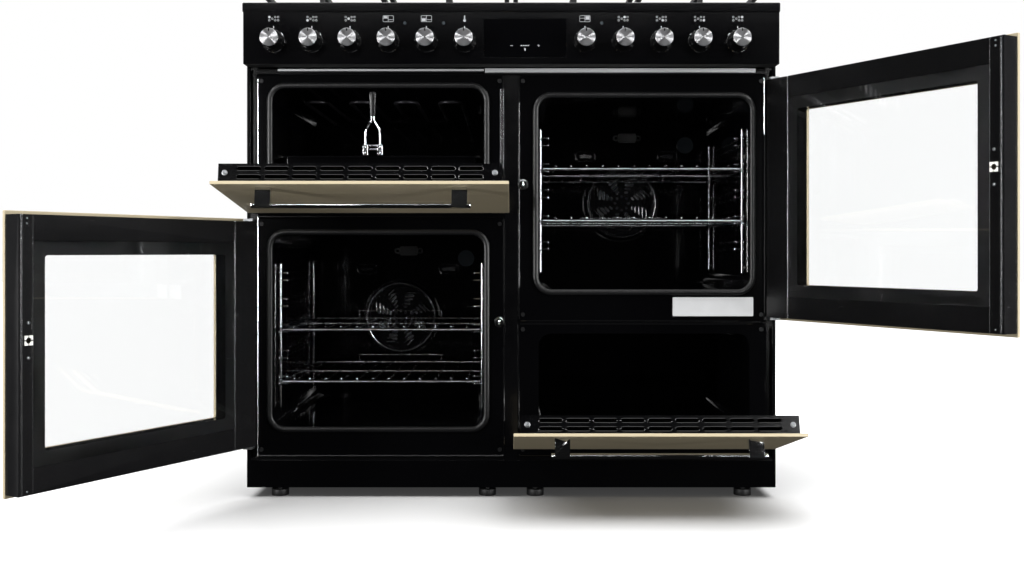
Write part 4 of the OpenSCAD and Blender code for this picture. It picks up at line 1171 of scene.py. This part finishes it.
@dataclass
class DropDoor:
    """Slot rims, screws and washers in the upper edge of a drop-down door, drawn shut on the right."""

    name: str
    body: str
    turn: Turn
    top_z: float
    slots: int = 9
    slot: Flat = (40.0, 7.0)
    pitch: float = 46.0
    rows: Flat = (-96.5, -82.5)
    middle: float = 250.5
    rim_r: float = 0.55
    ends: Flat = (27.0, 474.0)

    def build(self) -> None:
        """Builds the rims and screws."""
        rims, screws = Draft(), Draft()
        half_l, half_w = self.slot[0] / 2 + self.rim_r * 0.3, self.slot[1] / 2 + self.rim_r * 0.3
        for y in self.rows:
            for i in range(self.slots):
                x = self.middle + self.pitch * (i - (self.slots - 1) / 2)
                line = rounded(x - half_l, x + half_l, y - half_w, y + half_w, half_w - 0.1, 5)
                rims.tube([(px, py, self.top_z) for px, py in line], self.rim_r, 6, True)
        for x in self.ends:
            screws.lathe([
                (0, 0), (4.8, 0), (4.8, 0.5), (4.2, 0.8), (3.3, 0.8), (3.3, 0.2), (2.9, 0.2), (2.7, 1.3),
                (2.0, 1.7), (1.3, 1.5), (1.1, 0.6), (0, 0.5)
            ], (x, sum(self.rows) / 2, self.top_z), "Z", 24)
        rims.make(f"{self.name}SlotRims", self.body, BLACK_ENAMEL, self.turn, slot="black_coat")
        screws.make(f"{self.name}Screws", self.body, SCREW_STEEL, self.turn, slot="trim_steel")


@dataclass
class FrontFrame:
    """Folded edges, some with painted highlights, fascia underside, stud heads and blank plate on the cooker's
    front frame.
    """

    fold_r: float = 2.1
    fold_x: Flat = (14.0, 481.8)
    left: tuple[Flat, ...] = ((79.0, 532.0), (536.0, 803.0))
    right: tuple[Flat, ...] = ((79.0, 332.0), (336.0, 803.0))
    # Radius and places of the bright steel lines, as x, lowest z and highest z: painted highlights on the
    # flanges' edges
    fascia: Flat = (816.0, 496.0)
    highlight_r: float = 1.2
    bare: tuple[Point, ...] = (
        (-481.0, 79.0, 532.0), (-481.0, 620.0, 795.0), (-15.0, 625.0, 776.0),
        (-20.0, 625.0, 776.0), (15.0, 400.0, 750.0), (480.0, 690.0, 797.0))
    stud_x: float = 22.5
    stud_z: Flat = (334.0, 595.0)
    plate: tuple[float, float, float, float] = (306.0, 459.0, 345.0, 381.0)

    def folds(self) -> None:
        """Rolls the flanges' edges, lays bright steel lines on some of them as painted highlights, and backs
        the fascia's underside with a matt sheet.
        """
        rolled = Draft()
        y = FLANGE_Y + 0.6
        inner, outer = self.fold_x
        for side, spans in ((-1, self.left), (1, self.right)):
            for low, high in spans:
                line = rounded(inner, outer, low + 1, high - 1, 3.0, 4)
                rolled.tube([(side * x, y, z) for x, z in line], self.fold_r, 8, True)
        rolled.make("FlangeFolds", BODY, BLACK_ENAMEL, slot="black_enamel")
        lip_z, end = self.fascia
        Draft().block(-end, end, FRONT_Y + 1.5, FLANGE_Y - 9, lip_z - 0.4, lip_z + 0.2).make(
            "FasciaUnderside", BODY, UNDERSIDE, slot="black_coat")
        # Bright steel lines on the flanges' black edges: painted highlights
        bare = Draft()
        for x, low, high in self.bare:
            bare.tube([(x, y - self.highlight_r, low), (x, y - self.highlight_r, high)], self.highlight_r, 10)
        bare.make("FlangeBareEdges", BODY, HIGHLIGHT_EDGE_STEEL, slot="trim_steel")

    def studs(self) -> None:
        """Caps the two catch studs with polished, slotted heads."""
        heads = Draft()
        for x, z in ((-self.stud_x, self.stud_z[0]), (self.stud_x, self.stud_z[1])):
            heads.hoop([(6.4, -0.2), (9.6, -0.2), (9.6, 0.5), (9.0, 1.5), (8.0, 2.1), (7.2, 1.8), (6.4, 0.9)],
                       (x, FLANGE_Y - 3.0, z), steps=40)
            heads.lathe([(4.3, -1.0), (4.3, 0.3), (3.6, 1.1), (2.4, 1.3), (1.4, 0.4), (0, 0.3)],
                        (x, INNER_Y - 10.0, z), steps=24)
        heads.make("CatchStudHeads", BODY, CHROME_BAR, slot="chrome_bar")

    def rating_plate(self) -> None:
        """Sets a blank plate under the right-hand oven."""
        Draft().prism(rounded(*self.plate, 2.0), FLANGE_Y - 0.5, FLANGE_Y).make(
            "BlankPlate", BODY, PLATE, bevel=0.15)

    def build(self) -> None:
        """Builds the folds, the stud heads and the plate."""
        self.folds()
        self.studs()
        self.rating_plate()


@dataclass
class OvenBack:
    """Fan cover with painted highlights on its slots' edges, sensor bracket and pressed ovals, round the fan's
    centre.
    """

    name: str
    x: float
    z: float
    replaces: tuple[str, ...] = ()
    cover_r: float = 88.0
    rise: float = 28.0
    skin_t: float = 1.3
    sectors: int = 8
    slots: tuple[Flat, ...] = ((27.0, 9.0), (36.0, 14.0), (45.0, 19.0), (54.0, 24.0), (63.0, 22.0))
    slot_w: float = 4.6
    slant_deg: float = 24.0
    glint_r: float = 1.0
    hole_at: float = 15.0
    hole_turn: float = 0.39
    hole_r: float = 3.0

    def sector_turns(self) -> list[float]:
        """Gives the direction of each group of slots."""
        return [2 * math.pi * (i + 0.5) / self.sectors for i in range(self.sectors)]

    def slots_at(self, turn: float) -> list[tuple[Vector, float, float]]:
        """Gives where a group's slots lie.

        Args:
            turn: The group's direction.

        Returns:
            Each slot's middle, lean and length.
        """
        lean = turn + math.pi / 2 + math.radians(self.slant_deg)
        return [(Vector((self.x + radius * math.cos(turn), self.z + radius * math.sin(turn))), lean, length)
                for radius, length in self.slots]

    def cover(self) -> None:
        """Spins the dished cover and cuts slanting slots through it in groups."""
        r, h, t = self.cover_r, self.rise, self.skin_t
        outer = [(r, 0.3), (r, 1.6), (r - 3, 2.4), (r - 6, h - 6.5), (r - 8, h - 4), (r - 11, h - 3),
                 (r - 13.5, h - 4.4), (r - 16, h - 2.4), (r - 18, h - 0.2), (0.4, h)]
        inner = [(0.4, h - t), (r - 18.4, h - t - 0.2), (r - 17, h - 3.4 - t), (r - 13.6, h - 4.6 - t),
                 (r - 9, h - 4.6 - t), (r - 7.5, h - 7.5 - t), (r - 5, 1.2), (r - 5, 0.3)]
        at = (self.x, CAVITY_BACK_Y, self.z)
        shell, cuts = Draft().hoop(outer + inner, at, steps=72), Draft()
        face, half = CAVITY_BACK_Y - h, self.slot_w / 2
        deep, proud = face + 6, face - 2
        for turn in self.sector_turns():
            for middle, lean, length in self.slots_at(turn):
                across = Matrix.Rotation(lean, 2)
                shape = rounded(-length / 2, length / 2, -half, half, half - 0.2, 3)
                cuts.prism([tuple(middle + across @ Vector(p)) for p in shape], proud, deep)
            angle = turn + self.hole_turn
            inside = (self.x + self.hole_at * math.cos(angle), self.z + self.hole_at * math.sin(angle))
            cuts.prism(disc(*inside, self.hole_r, 10), proud, deep)
        shell.cut(cuts).make(f"{self.name}FanCover", BODY, STEEL_BLACK, bevel=0.35, slot="black_enamel",
                             stands_for=self.replaces)

    def lip_glints(self) -> None:
        """Draws chrome lines on the slots' edges and the cover's two rims: painted highlights that stand in for
        the glints of light on the enamel.
        """
        face = CAVITY_BACK_Y - self.rise
        # Chrome tubes: painted highlights on the cover's enamelled edges
        lip_glints = Draft()
        for radius, y in ((self.cover_r - 4.0, CAVITY_BACK_Y - 6.0), (self.cover_r - 10.5, face + 2.6)):
            lip_glints.tube([(px, y, pz) for px, pz in disc(self.x, self.z, radius, 64)], 0.8, 8, True)
        for turn in self.sector_turns():
            for middle, lean, length in self.slots_at(turn):
                along = Vector((math.cos(lean), math.sin(lean))) * (length / 2 - 1.5)
                side = Vector((-along.y, along.x)).normalized() * (self.slot_w / 2 + 0.3)
                ends = [middle + side - along, middle + side + along]
                lip_glints.tube([(p.x, face - 0.2, p.y) for p in ends], self.glint_r, 8)
        lip_glints.make(f"{self.name}CoverGlintLips", BODY, CHROME_WIRE, slot="black_enamel")

    def fittings(self) -> None:
        """Mounts the sensor bracket with its two ears, and presses two ovals in the wall."""
        x, z, y = self.x + 15.0, self.z + 151.5, CAVITY_BACK_Y
        bracket = Draft().prism(rounded(x - 20, x + 20, z - 10.5, z + 10.5, 2), y - 5.0, y)
        for side in (-1, 1):
            middle = x + side * 25.5
            bracket.collar(rounded(middle - 7, middle + 7, z - 6.5, z + 6.5, 5.5, 5), disc(middle, z, 3.4, 24),
                           y - 2.2, y)
        bracket.make(f"{self.name}SensorBracket", BODY, BLACK_COAT, bevel=0.6, slot="black_coat")
        ovals = Draft()
        for across in (-81.0, 108.0):
            middle = self.x + across
            line = rounded(middle - 23, middle + 23, z - 53, z - 31, 10.8, 7)
            ovals.tube([(px, y - 0.4, pz) for px, pz in line], 1.5, 8, True)
            ovals.prism(rounded(middle - 14, middle + 14, z - 46.5, z - 38, 4.0, 5), y - 1.8, y)
        ovals.make(f"{self.name}PressedOvals", BODY, STEEL_BLACK, bevel=0.7, slot="black_enamel")

    def build(self) -> None:
        """Builds the back wall's pieces."""
        self.cover()
        self.lip_glints()
        self.fittings()


@dataclass
class PanHandle:
    """Clip-on grill pan handle: black tapered grip, forked wire arms and two plated clamps."""

    x: float = -264.0
    y: float = -57.0
    rim_z: float = 650.3
    grip_z: Flat = (725.0, 772.0)
    arm_x: float = 14.0
    wire_r: float = 2.2

    def build(self) -> None:
        """Builds the grip, the wires and the clamps."""
        low, high = self.grip_z
        section = [(1.0, -0.75), (1.0, 0.45), (0.6, 0.95), (-0.6, 0.95), (-1.0, 0.45), (-1.0, -0.75),
                   (-0.55, -1.0), (0.55, -1.0)]
        stations = ((low, 4.6), (low + 8, 4.9), (high - 16, 6.2), (high - 7, 6.8), (high - 2, 6.9), (high, 6.2))
        grip = Draft().skin([[(self.x + u * r, self.y + v * r, z) for u, v in section] for z, r in stations])
        grip.make("PanHandleGrip", "pan", GRIP, bevel=1.0, slot="grip_plastic",
                  stands_for=("grill_pan_handle",))
        wires = Draft()
        for side in (-1, 1):
            wires.tube([(self.x + side * a, self.y, self.rim_z + b) for a, b in
                        ((self.arm_x, 8), (self.arm_x, 44), (self.arm_x - 1.2, 50), (self.arm_x - 4.5, 56),
                         (5.2, 63), (3.4, 68), (3.2, 80))], self.wire_r, 12)
        for up in (12.0, 19.0):
            wires.tube([(self.x - self.arm_x - 3, self.y, self.rim_z + up),
                        (self.x + self.arm_x + 3, self.y, self.rim_z + up)], self.wire_r, 12)
        wires.make("PanHandleWires", "pan", CHROME_BAR, slot="chrome_bar")
        clamps = Draft()
        side_view = [(-3.0, 1.5), (-1.5, 0.0), (10.0, 0.0), (10.0, 3.0), (4.6, 3.6), (3.2, 6.0), (3.2, 20.0),
                     (1.8, 22.0), (-1.6, 22.0), (-3.0, 20.4)]
        for side in (-1, 1):
            middle = self.x + side * self.arm_x
            clamps.prism([(self.y + a, self.rim_z + b) for a, b in side_view], middle - 5, middle + 5, "X")
            for up in (5.0, 16.0):
                clamps.ball((middle, self.y - 3.0, self.rim_z + up), 2.6)
            z = self.rim_z + 10.5
            clamps.tube([(middle - 4, self.y - 2.4, z), (middle + 4, self.y - 2.4, z)], 1.5, 10)
        clamps.make("PanHandleClamps", "pan", CHROME_WIRE, bevel=1.0, slot="chrome_wire")


@dataclass
class Burner:
    """Ribs between the flame ports round a burner's head."""

    name: str
    x: float
    y: float
    r: float
    ports: int
    low: float = 937.0
    high: float = 943.6
    half_w: float = 0.9
    reach: Flat = (5.0, 1.2)

    def build(self) -> None:
        """Builds the ribs."""
        inward, outward = self.reach
        ribs = Draft().block(self.r - inward, self.r + outward, -self.half_w, self.half_w, self.low, self.high)
        ribs.copy_along([Matrix.Rotation(2 * math.pi * i / self.ports, 4, "Z") for i in range(1, self.ports)])
        bmesh.ops.translate(ribs.bm, vec=(self.x, self.y, 0), verts=ribs.bm.verts)
        ribs.make(f"{self.name}Ports", BODY, BURNER_ALLOY, bevel=0.3, slot="burner_alloy")


@dataclass
class Seals:
    """Braided gaskets round the two ovens and the grill, on the front frame."""

    half_w: float = 5.5
    half_t: float = 3.3
    corner_r: float = 29.5
    foot: float = 6.0
    sides: int = 14
    ovens: tuple[tuple[str, float, float, float], ...] = (
        ("Left", -BAY_X, LEFT_Z0, OVEN_H), ("Right", BAY_X, RIGHT_Z0, OVEN_H),
        ("Grill", -BAY_X, GRILL_Z0, GRILL_H))

    def build(self) -> None:
        """Lays each gasket; the grill's is open at its foot."""
        y = FLANGE_Y - self.half_t
        reach = HALF_BAY + self.half_w
        section = [(self.half_w / self.half_t * u, v) for u, v in disc(0, 0, 1, self.sides)]
        for i, (name, x, z, h) in enumerate(self.ovens):
            line = rounded(x - reach, x + reach, z - self.half_w, z + h + self.half_w, self.corner_r, 10)
            drawn = Draft()
            if name == "Grill":
                arch = [(px, y, pz) for px, pz in line if pz > z + h / 2]
                foot = z + self.foot
                drawn.tube([(x + reach, y, foot), *arch, (x - reach, y, foot)], self.half_t, shape=section)
            else:
                drawn.tube([(px, y, pz) for px, pz in line], self.half_t, closed=True, shape=section)
            drawn.make(f"{name}Seal", BODY, SEAL, slot="seal_rubber", smooth=60,
                       stands_for=("door_seals",) if i == 0 else ())


@dataclass
class LadderEnds:
    """Bent front ends of the rungs that the shelves run on."""

    name: str
    x: float
    z: float
    rung_x: float = 192.0
    y: float = -29.5
    lift: float = 76.0
    pitch: float = RUNG_PITCH
    levels: int = 5
    rise: float = 14.0
    bend: Flat = (-11.0, 5.0)
    wire_r: float = 1.3
    bead_r: float = 2.1

    def build(self) -> None:
        """Builds two columns of bends."""
        ends = Draft()
        for side in (-1, 1):
            tips = [self.x + side * (self.rung_x + b) for b in self.bend]
            for level in range(self.levels):
                for up in (0.0, self.rise):
                    z = self.z + self.lift + self.pitch * level + up
                    ends.tube([(x, self.y, z) for x in tips], self.wire_r, 8)
                    for x in tips:
                        ends.ball((x, self.y, z), self.bead_r)
        ends.make(f"{self.name}RungEnds", BODY, CHROME_WIRE, slot="chrome_wire")


@dataclass
class ShelfEnds:
    """Welded wire ends that stand proud of a shelf's front rail."""

    body: str
    x: float
    z: float
    count: int = 12
    pitch: float = 30.3
    y: float = -34.5
    lift: float = 3.4
    r: float = 2.4
    stretch: float = 1.2

    def build(self) -> None:
        """Builds the row of ends."""
        ends = Draft()
        for i in range(self.count):
            x = self.x + self.pitch * (i - (self.count - 1) / 2)
            ends.ball((x, self.y, self.z + self.lift), self.r, self.stretch)
        name = "".join(word.title() for word in self.body.split("_"))
        ends.make(f"{name}WireEnds", self.body, CHROME_WIRE, slot="chrome_wire")


BURNER_PLACES = [(-360.0, 62.0), (-360.0, 318.0), (120.0, 62.0), (120.0, 318.0), (360.0, 62.0), (360.0, 318.0)]

SUB_ASSEMBLIES = [
    SideDoor("LeftDoor", "left", Turn.LEFT_DOOR, 95.0, 530.0, 334.0),
    SideDoor("RightDoor", "right", Turn.RIGHT_DOOR, 338.0, 797.0, 595.0),
    *(Knob(i + 1) for i in range(len(KNOB_XS))),
    PanelMarks(),
    DropDoor("GrillDoor", "grill_door", Turn.GRILL_DOOR, 791.0),
    DropDoor("StorageDoor", "storage_door", Turn.STORE_DOOR, 324.0),
    FrontFrame(),
    OvenBack("LeftOven", -BAY_X, 317.5, ("fan_covers",)),
    OvenBack("RightOven", BAY_X, 577.5),
    PanHandle(),
    Seals(),
    LadderEnds("LeftOven", -BAY_X, LEFT_Z0),
    LadderEnds("RightOven", BAY_X, RIGHT_Z0),
    *(ShelfEnds(f"{side}_{name}_shelf", x, z + SHELF_LIFT + RUNG_PITCH * level) for side, x, z, name, level in (
        ("left", -BAY_X, LEFT_Z0, "lower", 0), ("left", -BAY_X, LEFT_Z0, "upper", 2),
        ("right", BAY_X, RIGHT_Z0, "lower", 1), ("right", BAY_X, RIGHT_Z0, "upper", 3))),
    *(Burner(f"Burner{i + 1}", x, y, 38.0, 30) for i, (x, y) in enumerate(BURNER_PLACES)),
    Burner("WokBurner", -120.0, 190.0, 62.0, 48),
]


def main() -> None:
    """Builds the studio and every sub-assembly in order, and reports each piece."""
    logging.basicConfig(level=logging.INFO, format="%(message)s")
    for finish, slot, bevel, nodes in CAD_FINISHES:
        for node in nodes.split():
            dress(node, finish, bevel)
    for part in SUB_ASSEMBLIES:
        part.build()
    Studio().build()


if __name__ == "__main__":
    main()
